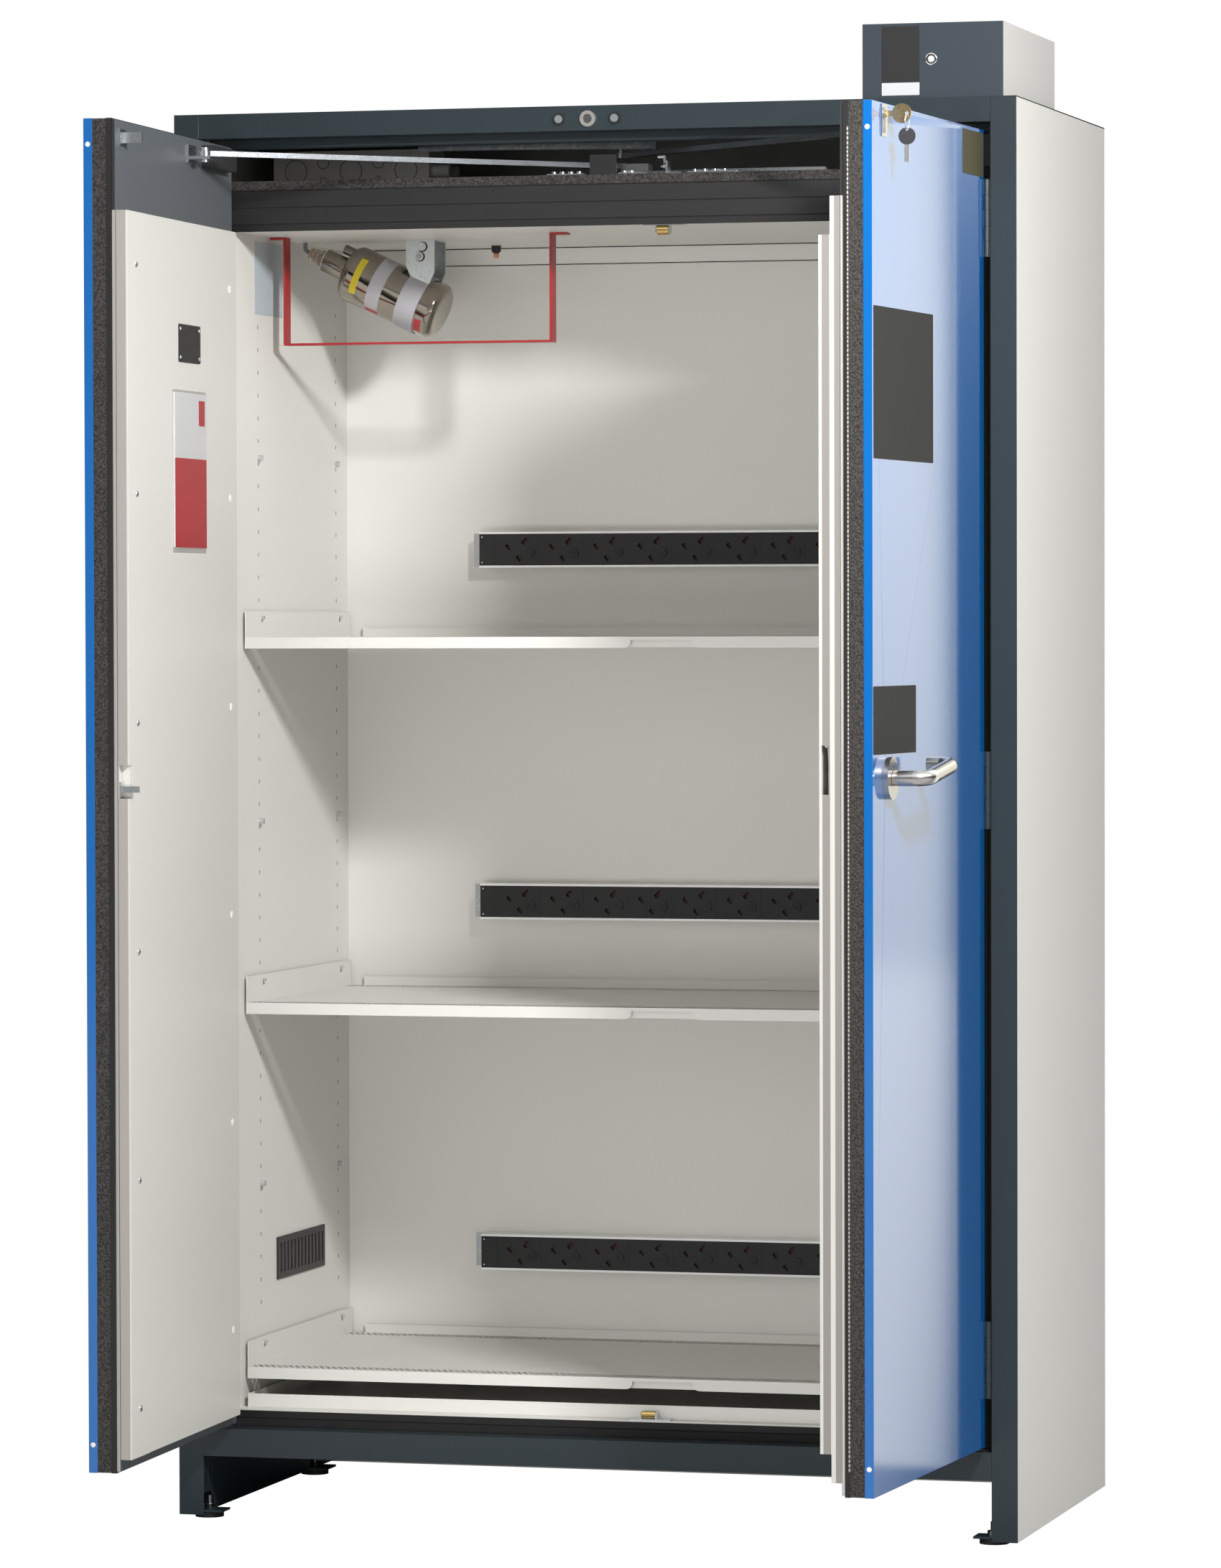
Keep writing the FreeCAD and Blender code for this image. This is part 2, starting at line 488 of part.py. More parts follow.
# Roof compartment and exhaust
case = cut(box("-junction_x", "-junction_end", -20, 60, "roof_top", "roof_top+junction_tall"),
           box("-junction_x+2", "-junction_end-2", -18, 58, "roof_top+2", "roof_top+junction_tall-2"))
glands = [cyl("-junction_end", y, "roof_top+28", 9, 26, "+x") for y in (0, 38)]
node("junction_box", fuse(case, *glands))
duct = cut(
    box("duct_left", "duct_right", "-duct_front", "duct_back", "cab_height", "duct_top"),
    box("duct_left+sheet", "duct_right-sheet", "-duct_front+sheet", "duct_back-sheet", "cab_height-1",
        "duct_top-sheet"),
    cyl("(duct_left+duct_right)/2", "duct_back-5", "fan_z", "fan_radius+2.5", 8, "+y"),
)
fan_x = "(duct_left+duct_right)/2"
spigot = cut(cyl(fan_x, "duct_back-sheet", "fan_z", "fan_radius+4", 30, "+y"),
             cyl(fan_x, "duct_back-5", "fan_z", "fan_radius+2.5", 40, "+y"))
carrier = box("duct_left+sheet", "duct_right-sheet", "duct_back-32", "duct_back-30", "fan_z-6", "fan_z+6")
motor = cyl(fan_x, "duct_back-44", "fan_z", 13, 14, "+y")
shaft = cyl(fan_x, "duct_back-30", "fan_z", "fan_shaft", 22, "+y")
node("exhaust_box", fuse(duct, spigot, carrier, motor, shaft))

hub = Part.makeCylinder(size("fan_hub"), 14, Vector(), Vector(0, 1, 0))
blades = []
for i in range(7):
    blade = Part.makeBox(size("fan_radius") - size("fan_hub") + 2, 1.2, 13, Vector(size("fan_hub") - 2, -0.6, -6.5))
    blade.rotate(Vector(), Vector(1, 0, 0), 35)
    blade.translate(Vector(0, 7, 0))
    blade.rotate(Vector(), Vector(0, 1, 0), i * 360 / 7)
    blades.append(blade)
wheel = hub.fuse(blades).cut(Part.makeCylinder(size("fan_shaft") + size("run_fit"), 20, Vector(0, -2, 0),
                                               Vector(0, 1, 0)))
impeller = feature(wheel)
impeller.Placement = Placement(
    Vector((size("duct_left") + size("duct_right")) / 2, size("duct_back") - 29.5, size("fan_z")), Rotation())
node("fan_impeller", impeller)

# Lamps and reset button on the fascia
lamps = []
for x in (-41, 38):
    lamps.append(fuse(cyl(x, FRONT, "lamp_z", "lamp_ring", 2, "-y"), cyl(x, FRONT, "lamp_z", "lens_radius", 4, "-y")))
lamps.append(cut(cyl(0, FRONT, "lamp_z", "bezel_radius", 3, "-y"),
                 cyl(0, f"{FRONT}+1", "lamp_z", "button_radius+button_play", 5, "-y")))
node("fascia_lamps", group(*lamps))
node("reset_button", cyl(0, f"{FRONT}-2", "lamp_z", "button_radius", 9, "+y"))

# Catch rollers under the ceiling and on the floor
def roller(x0, x1, plate0, plate1, level, radius, z, word):
    up = word == "upper"
    low, high = (f"{level}-2", level) if up else (level, f"{level}+2")
    parts = [box(plate0, plate1, "-body_front", "-roller_y+11", low, high)]
    for inner, outer in ((x0 - 0.3, x0 - 2.3), (x1 + 2.3, x1 + 0.3)):
        near, far = (f"{z}-4", f"{level}-2") if up else (f"{level}+2", f"{z}+4")
        parts.append(box(outer if outer < inner else inner, inner if outer < inner else outer,
                         "-roller_y-5", "-roller_y+5", near, far))
    parts.append(cyl(x0 - 2.3, "-roller_y", z, "roller_pin_r", x1 - x0 + 4.6, "+x"))
    tube = cut(cyl(x0, "-roller_y", z, radius, x1 - x0, "+x"),
               cyl(x0 - 1, "-roller_y", z, "roller_pin_r+run_fit", x1 - x0 + 2, "+x"))
    node(f"catch_roller_{word}", tube)
    return fuse(*parts)


node("roller_brackets", group(
    roller(85, 101, 65, 124, "inner_top", "upper_roller_r", "upper_roller_z", "upper"),
    roller(59, 78, 43, 100, "inner_floor", "lower_roller_r", "lower_roller_z", "lower"),
))


# Stay mechanism on the roof of the inner body
def arc_path(side, word, steps=24):
    turn = size(f"{word}_open")
    rest = math.radians(size(f"{word}_rod_angle"))
    long = size(f"{word}_rod_long")
    pivot = Vector(size("pin_in") + size("stay_u"), size("pin_out") + size("stay_t"), 0)
    points = []
    for i in range(steps + 1):
        opened = 92.0 * i / steps
        angle = math.radians(-opened)
        arm = Vector(pivot.x * math.cos(angle) - pivot.y * math.sin(angle),
                     pivot.x * math.sin(angle) + pivot.y * math.cos(angle), 0)
        swing = rest + (RATIO[word] - 1) * math.radians(opened - turn)
        points.append(Vector(-size("pin_x") + arm.x + long * math.cos(swing),
                             -size("pin_y") + arm.y + long * math.sin(swing), 0))
    return points


RATIO = {"left": 1.365, "right": 1.380}


def fitted_arc(points):
    a, b, c = points[2], points[len(points) // 2], points[-3]
    circle = Part.Circle(a, b, c)
    worst = max(abs((p - circle.Center).Length - circle.Radius) for p in points)
    print("guide arc radius", round(circle.Radius, 1), "largest deviation", round(worst, 2))
    return circle.Center, circle.Radius


def guide(word, low, high, wall_low):
    points = arc_path(-1, word)
    centre, radius = fitted_arc(points)
    ends = [math.degrees(math.atan2(p.y - centre.y, p.x - centre.x)) for p in (points[-1], points[0])]
    sweep = (ends[1] - ends[0] + 180) % 360 - 180
    first = min(ends[0], ends[0] + sweep) - 1.1
    last = first + abs(sweep) + 2.2

    def sector(r0, r1, z0, z1):
        at = Vector(centre.x, centre.y, z0)
        outer = Part.makeCylinder(r1, z1 - z0, at, Vector(0, 0, 1), last - first)
        inner = Part.makeCylinder(r0, z1 - z0, at, Vector(0, 0, 1), last - first)
        ringed = outer.cut(inner)
        ringed.rotate(Vector(centre.x, centre.y, 0), Vector(0, 0, 1), first)
        return ringed
    half, wall = size("slot_half"), size("guide_wall")
    pieces = [
        sector(radius - half - wall, radius - half, wall_low, high),
        sector(radius + half, radius + half + wall, wall_low, high),
        sector(radius - half - wall, radius + half + wall, low, low + 1.5),
    ]
    return pieces[0].fuse(pieces[1:]).removeSplitter(), points


roof = size("roof_top")
left_track, left_points = guide("left", roof, roof + 12, roof)
mirror = Vector(1, 0, 0)
right_track, right_points = guide("right", 0, 11, 0)
right_track = right_track.mirror(Vector(), mirror)
right_track.rotate(Vector(0, 0, 5.5), Vector(0, 1, 0), 180)
right_track = right_track.mirror(Vector(), mirror)
track_low = size("right_rod_z") + size("rod_half") + 6
right_track.translate(Vector(0, 0, track_low))
hangers = []
for point in (right_points[3], right_points[-4]):
    hangers.append(Part.makeBox(20, 12, size("cab_height") - size("sheet") - track_low - 11,
                                Vector(-point.x - 10, point.y - 6, track_low + 11)))
right_track = right_track.fuse(hangers).removeSplitter()
front = -size("body_front")
cover = Part.makeBox(38, 2, 27, Vector(-10, front, roof)).fuse(Part.makeBox(38, 15, 2, Vector(-10, front + 2, roof)))
housing = Part.makeBox(38, 24, 15, Vector(29, front + 22, roof)).cut(
    Part.makeBox(34, 20, 12, Vector(31, front + 24, roof + 1.5)))
lever_y = front + 19
lever_stand = Part.makeBox(3, 16, 18, Vector(94.5, lever_y - 8, roof)).fuse([
    Part.makeBox(20, 16, 2, Vector(94.5, lever_y - 8, roof)),
    Part.makeCylinder(2.5, 8, Vector(86.5, lever_y, roof + 10), Vector(1, 0, 0)),
])
plates = []
for x0, x1, heads in ((-72, -20, (-64, -52, -40, -28)), (30, 66, (36, 46)), (128, 196, (136, 150, 164, 178))):
    plate = Part.makeBox(x1 - x0, 15, 2, Vector(x0, front + 3, roof))
    domes = [Part.makeCylinder(4, 3, Vector(x, front + 11, roof + 2), Vector(0, 0, 1)) for x in heads]
    plates.append(plate.fuse(domes))
node("stay_mechanism", feature(Part.makeCompound([left_track, right_track, cover, housing, lever_stand] + plates)))

arm = Part.makeBox(3, 7, 17, Vector(90.5, lever_y - 3.5, roof + 8)).fuse([
    Part.makeCylinder(6, 3, Vector(90.5, lever_y, roof + 10), Vector(1, 0, 0)),
    Part.makeCylinder(4, 8, Vector(82.5, lever_y, roof + 23.5), Vector(1, 0, 0)),
])
arm = arm.cut(Part.makeCylinder(2.5 + size("run_fit"), 12, Vector(84, lever_y, roof + 10), Vector(1, 0, 0)))
node("hold_open_lever", feature(arm))


# Doors, modelled closed about their pins and turned to the opened angle
def u_x(side, u):
    return f"pin_in+({u})" if side < 0 else f"-(pin_in+({u}))"


def leaf_box(side, u0, u1, t0, t1, z0, z1):
    x0, x1 = (u_x(side, u0), u_x(side, u1)) if side < 0 else (u_x(side, u1), u_x(side, u0))
    return box(x0, x1, f"pin_out+({t0})", f"pin_out+({t1})", z0, z1)


def leaf_cyl(side, u, t, z, radius, tall, way):
    if way == "out":
        return cyl(u_x(side, u), f"pin_out+({t})", z, radius, tall, "-y")
    if way == "in":
        return cyl(u_x(side, u), f"pin_out+({t})", z, radius, tall, "+y")
    return cyl(u_x(side, u), f"pin_out+({t})", z, radius, tall, way)


def swing(side, item):
    word = "left" if side < 0 else "right"
    item = group(item) if item.TypeId == "Part::Box" else item
    item.Placement = Placement(Vector(), Rotation(Vector(0, 0, side), 1))
    item.setExpression(".Placement.Base.x", expr(f"{side}*pin_x"))
    item.setExpression(".Placement.Base.y", expr("-pin_y"))
    item.setExpression(".Placement.Rotation.Angle", expr(f"{word}_open * 1 deg"))
    return item


HINGES = ("hinge_top", "hinge_mid", "hinge_low")


def knuckles(side, own, leaf):
    tall = "(hinge_tall-4*knuckle_gap)/5"
    items = []
    for mid in HINGES:
        parts = []
        for i in own:
            low = f"{mid}-hinge_tall/2+{i}*({tall}+knuckle_gap)"
            parts.append(cyl(0, 0, low, "knuckle_r", tall))
            parts.append(leaf(low, f"{low}+{tall}"))
        items.append((mid, parts))
    return items


def frame_hinges(side):
    made = []
    for mid, parts in knuckles(side, (1, 3), lambda z0, z1: frame_tab(side, z0, z1)):
        plate = side_box(side, "post_in-pin_x-leaf_sheet", "post_in-pin_x", "pin_out+1.1", "pin_out+32",
                         f"{mid}-hinge_tall/2", f"{mid}+hinge_tall/2")
        bore = cyl(0, 0, f"{mid}-hinge_tall/2-1", "hinge_pin_r+run_fit", "hinge_tall+2")
        made.append(cut(fuse(plate, *parts), bore))
    held = group(*made)
    held.setExpression(".Placement.Base.x", expr(f"{side}*pin_x"))
    held.setExpression(".Placement.Base.y", expr("-pin_y"))
    return held


def frame_tab(side, z0, z1):
    return side_box(side, "post_in-pin_x-leaf_sheet", "post_in-pin_x", 0, "pin_out+1.1", z0, z1)


def door_tab(side, z0, z1):
    return side_box(-side, "pin_in-leaf_sheet", "pin_in", 0, "pin_out+1.1", z0, z1)


def door_hinges(side):
    made = []
    for mid, parts in knuckles(side, (0, 2, 4), lambda z0, z1: door_tab(side, z0, z1)):
        plate = side_box(-side, "pin_in-leaf_sheet", "pin_in", "pin_out+1.1", "pin_out+32",
                         f"{mid}-hinge_tall/2", f"{mid}+hinge_tall/2")
        pin = cyl(0, 0, f"{mid}-hinge_tall/2", "hinge_pin_r", "hinge_tall")
        made.append(fuse(plate, pin, *parts))
    return made


node("hinge_leaves_frame", group(frame_hinges(-1), frame_hinges(1)))


def door(side):
    word = "left" if side < 0 else "right"
    lb = lambda *bounds: leaf_box(side, *bounds)
    low, top, wide = "door_low", "door_top", "leaf_width"
    skin = cut(
        lb(0, wide, 0, "skin_deep", low, top),
        lb("sheet", f"{wide}-sheet", "sheet", "skin_deep+1", f"{low}+sheet", f"{top}-sheet"),
    )
    core_parts = [
        lb("sheet", f"{wide}-sheet", "sheet", "skin_deep", f"{low}+sheet", f"{top}-sheet"),
        lb(0.5, f"{wide}-0.5", "skin_deep", "foam_deep", f"{low}+0.5", f"{top}-0.5"),
        lb(30, f"{wide}-30", "foam_deep", "seal_deep", f"{low}+30", f"{top}-30"),
    ]
    core = fuse(*core_parts)
    if side > 0:
        stem = leaf_cyl(side, "handle_u", -1, "handle_z", "stem_r+0.6", 24, "in")
        lock = leaf_cyl(side, "lock_u", -1, "lock_z", 9, 32, "in")
        lock_foot = lb("lock_u-5.5", "lock_u+5.5", -1, 31, "lock_z-25", "lock_z")
        skin = cut(skin, stem, lock, lock_foot, leaf_cyl(side, f"{wide}-69.5", -1, f"{top}-26.4", 2, 4, "in"))
        core = cut(core, leaf_cyl(side, "handle_u", -1, "handle_z", "stem_r+0.6", 24, "in"),
                   leaf_cyl(side, "lock_u", -1, "lock_z", 9, 32, "in"),
                   lb("lock_u-5.5", "lock_u+5.5", -1, 31, "lock_z-25", "lock_z"))
    seal = cut(lb(0, wide, "foam_deep", "seal_deep", low, top),
               lb(30, f"{wide}-30", "foam_deep-1", "seal_deep+1", f"{low}+30", f"{top}-30"))
    plate = lb(2, f"{wide}-2", "seal_deep", "leaf_deep", f"{low}+2", f"{top}-2")
    panel = cut(
        lb("panel_in", "panel_out", "leaf_deep", "panel_deep", "panel_low", "panel_top"),
        lb("panel_in+sheet", "panel_out-sheet", "leaf_deep-1", "panel_deep-sheet", "panel_low+sheet",
           "panel_top-sheet"),
    )
    if side < 0:
        strip = lb("panel_out-85", "panel_out", "panel_deep", "panel_deep+1", "panel_low", "panel_top")
        notch = lb("panel_out-14", "panel_out+1", "leaf_deep+1", "panel_deep+2", "hook_z-34", "hook_z+10")
        lining = lb("panel_out-16", "panel_out", "leaf_deep", "leaf_deep+sheet", "hook_z-36", "hook_z+12")
        panel = fuse(cut(fuse(panel, strip), notch), lining)
    else:
        upper = lb(f"{wide}-124.5", f"{wide}-56.5", "leaf_deep-1", "panel_deep+1", "upper_roller_z-upper_roller_r-9", "panel_top+1")
        lower = lb(f"{wide}-101.5", f"{wide}-34.5", "leaf_deep-1", "panel_deep+1", "panel_low-1",
                   "lower_roller_z+lower_roller_r+9")
        channel = cut(
            lb("panel_out-72", "panel_out", "panel_deep", "channel_deep", "panel_low+36.5", "panel_top-49"),
            lb("panel_out-72+sheet", "panel_out-sheet", "panel_deep-1", "channel_deep-sheet",
               "panel_low+36.5+sheet", "panel_top-49-sheet"),
            lb("panel_out-30", "panel_out+1", "hook_t-2.5", "hook_t+hook_thick+2.5", "slot_low", "slot_top"),
        )
        panel = cut(fuse(panel, channel), upper, lower)
    for name, item in (("skin", skin), ("core", core), ("seals", seal), ("plate", plate), ("panel", panel)):
        node(f"{word}_door_{name}", swing(side, item))

    rod_z = f"{word}_rod_z"
    tongue = fuse(
        lb("stay_u-29", "stay_u+8", "leaf_deep", "leaf_deep+3", f"{rod_z}-12", f"{rod_z}+12"),
        lb("stay_u-10", "stay_u+10", "leaf_deep+3", "stay_t+10", f"{rod_z}-rod_half-4.4", f"{rod_z}-rod_half-0.4"),
        leaf_cyl(side, "stay_u", "stay_t", f"{rod_z}-rod_half-8", "rod_pin_r", "2*rod_half+12", "+z"),
        leaf_cyl(side, "stay_u", "stay_t", f"{rod_z}+rod_half+0.4", 5.5, 4, "+z"),
        leaf_cyl(side, "stay_u", "stay_t", f"{rod_z}-rod_half-8", 5.5, 3.6, "+z"),
    )
    fittings = door_hinges(side) + [tongue]
    if side < 0:
        fittings.append(fuse(
            lb(f"{wide}-44.5", f"{wide}-19.5", "leaf_deep", "leaf_deep+2", f"{top}-35", f"{top}-13"),
            lb(f"{wide}-35.5", f"{wide}-32.5", "leaf_deep+2", "leaf_deep+27.5", f"{top}-31", f"{top}-17"),
        ))
        fittings.append(lb(36, 148, "leaf_deep", "leaf_deep+17.5", f"{top}-38", f"{top}-8"))
        fittings.append(fuse(
            lb("panel_out-13", "panel_out-1", "leaf_deep+sheet", "leaf_deep+3.5", "hook_z-33", "hook_z-12"),
            lb("panel_out-8", "panel_out-4", "leaf_deep+3.5", "leaf_deep+27.5", "hook_z-26", "hook_z-18"),
        ))
    else:
        fittings.append(leaf_cyl(side, "hook_u", "panel_deep", "hook_z", "hook_pin_r",
                                 "channel_deep-sheet-panel_deep", "in"))
        fittings.append(lb(f"{wide}-99.5", f"{wide}-36.5", "leaf_deep", "panel_deep", "lower_roller_z+lower_roller_r+run_on_gap",
                           "lower_roller_z+lower_roller_r+9"))
        fittings.append(lb(f"{wide}-122.5", f"{wide}-58.5", "leaf_deep", "panel_deep", "upper_roller_z-upper_roller_r-9",
                           "upper_roller_z-upper_roller_r-run_on_gap"))
    node(f"{word}_door_fittings", swing(side, group(*fittings)))


door(-1)
door(1)


# Stay rods, drawn along +x from the door pivot and turned to their angle
def stay_rod(side, word, pin_way):
    long, half, z = size(f"{word}_rod_long"), size("rod_half"), size(f"{word}_rod_z")
    bar = Part.makeBox(long + 10, 2 * half, 2 * half, Vector(0, -half, -half))
    eye = Part.makeCylinder(7.5, 2 * half, Vector(0, 0, -half))
    end = Part.makeCylinder(6, 2 * half, Vector(long, 0, -half))
    drop = 11.5 if pin_way < 0 else 13.5
    pin = Part.makeCylinder(size("rod_pin_r"), drop, Vector(long, 0, pin_way * half), Vector(0, 0, pin_way))
    knob = Part.makeCylinder(4.5, 3, Vector(long, 0, pin_way * half), Vector(0, 0, pin_way))
    shape = bar.fuse([eye, end, pin, knob])
    shape = shape.cut(Part.makeCylinder(size("rod_pin_r") + size("run_fit"), 30, Vector(0, 0, -15)))
    turn = math.radians(-size(f"{word}_open"))
    px = size("pin_in") + size("stay_u")
    py = size("pin_out") + size("stay_t")
    x = -size("pin_x") + px * math.cos(turn) - py * math.sin(turn)
    y = -size("pin_y") + px * math.sin(turn) + py * math.cos(turn)
    angle = size(f"{word}_rod_angle")
    if side > 0:
        x, angle = -x, 180 - angle
    item = feature(shape)
    item.Placement = Placement(Vector(x, y, z), Rotation(Vector(0, 0, 1), angle))
    print(word, "stay pivot", round(x, 3), round(y, 3))
    node(f"{word}_stay_rod", item)


stay_rod(-1, "left", -1)
stay_rod(1, "right", 1)

# Lock and handle of the right door
rose = cut(leaf_cyl(1, "handle_u", 0, "handle_z", "rose_radius", "rose_tall", "out"),
           leaf_cyl(1, "handle_u", 1, "handle_z", "stem_r+run_fit", "rose_tall+3", "out"))
lock_round = leaf_cyl(1, "lock_u", 28, "lock_z", 8.5, "28+lock_proud", "out")
lock_foot = leaf_box(1, "lock_u-5", "lock_u+5", "-lock_proud", 28, "lock_z-24.5", "lock_z-4")
lock_case = cut(fuse(lock_round, lock_foot), leaf_cyl(1, "lock_u", 26, "lock_z", "plug_r+run_fit", "30+lock_proud", "out"))
lock_plate = cut(leaf_box(1, "lock_u-12", "lock_u+12", -1.5, 0, "lock_z-29", "lock_z+12"),
                 leaf_cyl(1, "lock_u", 1, "lock_z", 8.5, 5, "out"),
                 leaf_box(1, "lock_u-5", "lock_u+5", -3, 1, "lock_z-24.5", "lock_z-4"))
node("door_escutcheons", swing(1, group(rose, fuse(lock_case, lock_plate))))


def lever():
    reach, long, bend, back = size("lever_reach"), size("lever_long"), size("lever_bend"), size("lever_return")
    points = [Vector(0, -size("rose_tall") - 0.5, 0), Vector(0, -reach, 0), Vector(long, -reach, 0),
              Vector(long, -reach + back, 0)]
    near = points[1] + Vector(0, bend, 0)
    after = points[1] + Vector(bend, 0, 0)
    before = points[2] - Vector(bend, 0, 0)
    last = points[2] + Vector(0, bend, 0)
    k = bend * (1 - math.sqrt(0.5))
    spine = Part.Wire([
        Part.makeLine(points[0], near),
        Part.Arc(near, points[1] + Vector(k, k, 0), after).toShape(),
        Part.makeLine(after, before),
        Part.Arc(before, points[2] + Vector(-k, k, 0), last).toShape(),
        Part.makeLine(last, points[3]),
    ])
    section = Part.Wire([Part.makeCircle(size("lever_r"), points[0], Vector(0, -1, 0))])
    tube = spine.makePipeShell([section], True, False)
    stem = Part.makeCylinder(size("stem_r"), size("rose_tall") + 18, Vector(0, 16, 0), Vector(0, -1, 0))
    return tube.fuse(stem).removeSplitter()


def on_right_door(item, u, t, z, tilt=0):
    turn = Rotation(Vector(0, 0, 1), size("right_open"))
    at = turn.multVec(Vector(-(size("pin_in") + u), size("pin_out") + t, z))
    base = Vector(size("pin_x"), -size("pin_y"), 0) + at
    item.Placement = Placement(base, turn.multiply(Rotation(Vector(0, 1, 0), tilt)))
    return item


node("door_handle", on_right_door(feature(lever()), size("handle_u"), 0, size("handle_z"), -size("lever_tilt")))

HOOK = [(9, -7), (9, 7), (-40, 7), (-46, 1), (-46, -17), (-41, -17), (-38, -7)]
hook_plate = outline_pad([(x, y) for x, y in HOOK], "hook_thick", Rotation(Vector(1, 0, 0), 90),
                         (0, size("hook_thick"), 0))
hook_boss = cyl(0, -0.5, 0, 6, "hook_thick+3", "+y")
hook_bore = cyl(0, -2, 0, "hook_pin_r+run_fit", 12, "+y")
hook = cut(fuse(hook_plate, hook_boss), hook_bore)
node("latch_hook", on_right_door(hook, size("hook_u"), size("hook_t"), size("hook_z"), size("hook_tilt")))

bow = Part.makeCylinder(12.5, 2.4, Vector(-1.2, -24, 0), Vector(1, 0, 0))
blade = Part.makeBox(2.4, 18, 7, Vector(-1.2, -20, -3.5))
plug = Part.makeCylinder(size("plug_r"), 26, Vector(0, 21, 0), Vector(0, -1, 0))
hole = Part.makeCylinder(2.5, 6, Vector(-3, -31, 0), Vector(1, 0, 0))
node("lock_key", on_right_door(feature(bow.fuse([blade, plug]).cut(hole)), size("lock_u"), 0, size("lock_z")))

hoop = Part.makeTorus(9, 0.8, Vector(0, 0, -10.4), Vector(0, 1, 0))
tag = Part.makeCylinder(11, 2.2, Vector(-1.1, 0, -29), Vector(1, 0, 0)).fuse(
    Part.makeBox(2.2, 7, 26, Vector(-1.1, -3.5, -62))).cut(Part.makeCylinder(2, 6, Vector(-3, 0, -20.5), Vector(1, 0, 0)))
node("spare_key", on_right_door(feature(Part.makeCompound([hoop, tag])), size("lock_u"), -31, size("lock_z")))

doc.recompute()
bad = [o.Label for o in doc.Objects if any(s in ("Invalid", "Error") for s in o.State)]
for item in NODES:
    shape = item.Shape
    if shape.isNull() or not shape.isValid():
        bad.append(item.Label + " shape")
    shape.exportStep(f"parts/{item.Label}.step")
if bad:
    raise RuntimeError(f"bad objects: {bad}")
print(len(NODES), "nodes")
for item in NODES:
    b = item.Shape.BoundBox
    print(f"{item.Label:28s} {len(item.Shape.Solids):3d} {b.XMin:8.1f} {b.XMax:8.1f} {b.YMin:8.1f} {b.YMax:8.1f}"
          f" {b.ZMin:8.1f} {b.ZMax:8.1f} {item.Shape.Volume / 1000:10.1f}")
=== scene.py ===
import math

import bmesh
import bpy
import numpy as np
from mathutils import Matrix, Vector


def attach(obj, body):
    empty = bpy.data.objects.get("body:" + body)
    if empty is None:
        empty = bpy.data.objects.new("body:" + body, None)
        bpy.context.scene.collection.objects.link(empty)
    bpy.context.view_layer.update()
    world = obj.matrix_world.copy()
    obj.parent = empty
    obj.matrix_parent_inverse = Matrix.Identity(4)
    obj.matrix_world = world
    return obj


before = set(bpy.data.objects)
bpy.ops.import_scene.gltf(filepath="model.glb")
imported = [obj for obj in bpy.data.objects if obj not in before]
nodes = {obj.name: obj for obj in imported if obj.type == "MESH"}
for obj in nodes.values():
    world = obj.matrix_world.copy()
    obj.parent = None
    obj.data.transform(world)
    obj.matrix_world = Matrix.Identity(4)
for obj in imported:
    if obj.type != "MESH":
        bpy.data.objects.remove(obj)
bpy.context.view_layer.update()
scene = bpy.context.scene
scene.view_settings.view_transform = "Standard"

# Camera: a long lens on a 36 mm sensor, standing nine metres away to the right of the cabinet's middle at
# chest height, and turned slightly down.
CAMERA_AT = (2.421, -9.050, 1.244)
yaw, pitch, roll = np.radians((-15.297, -1.376, -0.139))
camera_data = bpy.data.cameras.new("camera")
camera_data.lens = 152.2
camera_data.sensor_width = 36
camera_data.clip_end = 60
camera = bpy.data.objects.new("camera", camera_data)
scene.collection.objects.link(camera)
look = Vector((math.sin(yaw) * math.cos(pitch), math.cos(yaw) * math.cos(pitch), math.sin(pitch)))
level = Vector((math.cos(yaw), -math.sin(yaw), 0))
across = level * math.cos(roll) + level.cross(look) * math.sin(roll)
turn = Matrix((across, across.cross(look), -look)).transposed()
camera.matrix_world = Matrix.Translation(CAMERA_AT) @ turn.to_4x4()
scene.camera = camera


# Studio: one boom light high at the front right throws the hard shadows, and soft fills lighten them.
# Reflections see a dark room with a bright ceiling, a pale floor in front, and a tall card behind on the
# right, brighter towards its top, which the blue door mirrors.
def feed(tree, socket, value):
    """Links another node's output to a socket, or sets a plain value on it."""
    if isinstance(value, bpy.types.NodeSocket):
        tree.links.new(value, socket)
    else:
        socket.default_value = value


def add(tree, kind, *terms, **values):
    """New shader node: terms feed its inputs in order, capitalised names feed the input of that name, and
    names in small letters are its settings."""
    item = tree.nodes.new("ShaderNode" + kind)
    for key, value in values.items():
        if key[0].islower():
            setattr(item, key, value)
        else:
            feed(tree, item.inputs[key.replace("_", " ")], value)
    for socket, value in zip(item.inputs, terms):
        feed(tree, socket, value)
    return item


def calc(tree, operation, *terms):
    """Result of a maths node."""
    return add(tree, "Math", *terms, operation=operation).outputs[0]


def ramp(tree, value, edges, levels):
    """Straight ramp from the first level at the first edge to the second level at the second edge."""
    return add(tree, "MapRange", Value=value, From_Min=edges[0], From_Max=edges[1],
               To_Min=levels[0], To_Max=levels[1]).outputs[0]


def blend(tree, kind, factor, first, second):
    """The first at factor 0 and the second at factor 1, for kind FLOAT or RGBA."""
    return add(tree, "Mix", data_type=kind, Factor=factor, A=first, B=second).outputs["Result"]


def seen_directly(tree, path):
    """1 for camera rays and rays through clear film, otherwise 0."""
    return calc(tree, "MAXIMUM", path["Is Camera Ray"], path["Is Transmission Ray"])


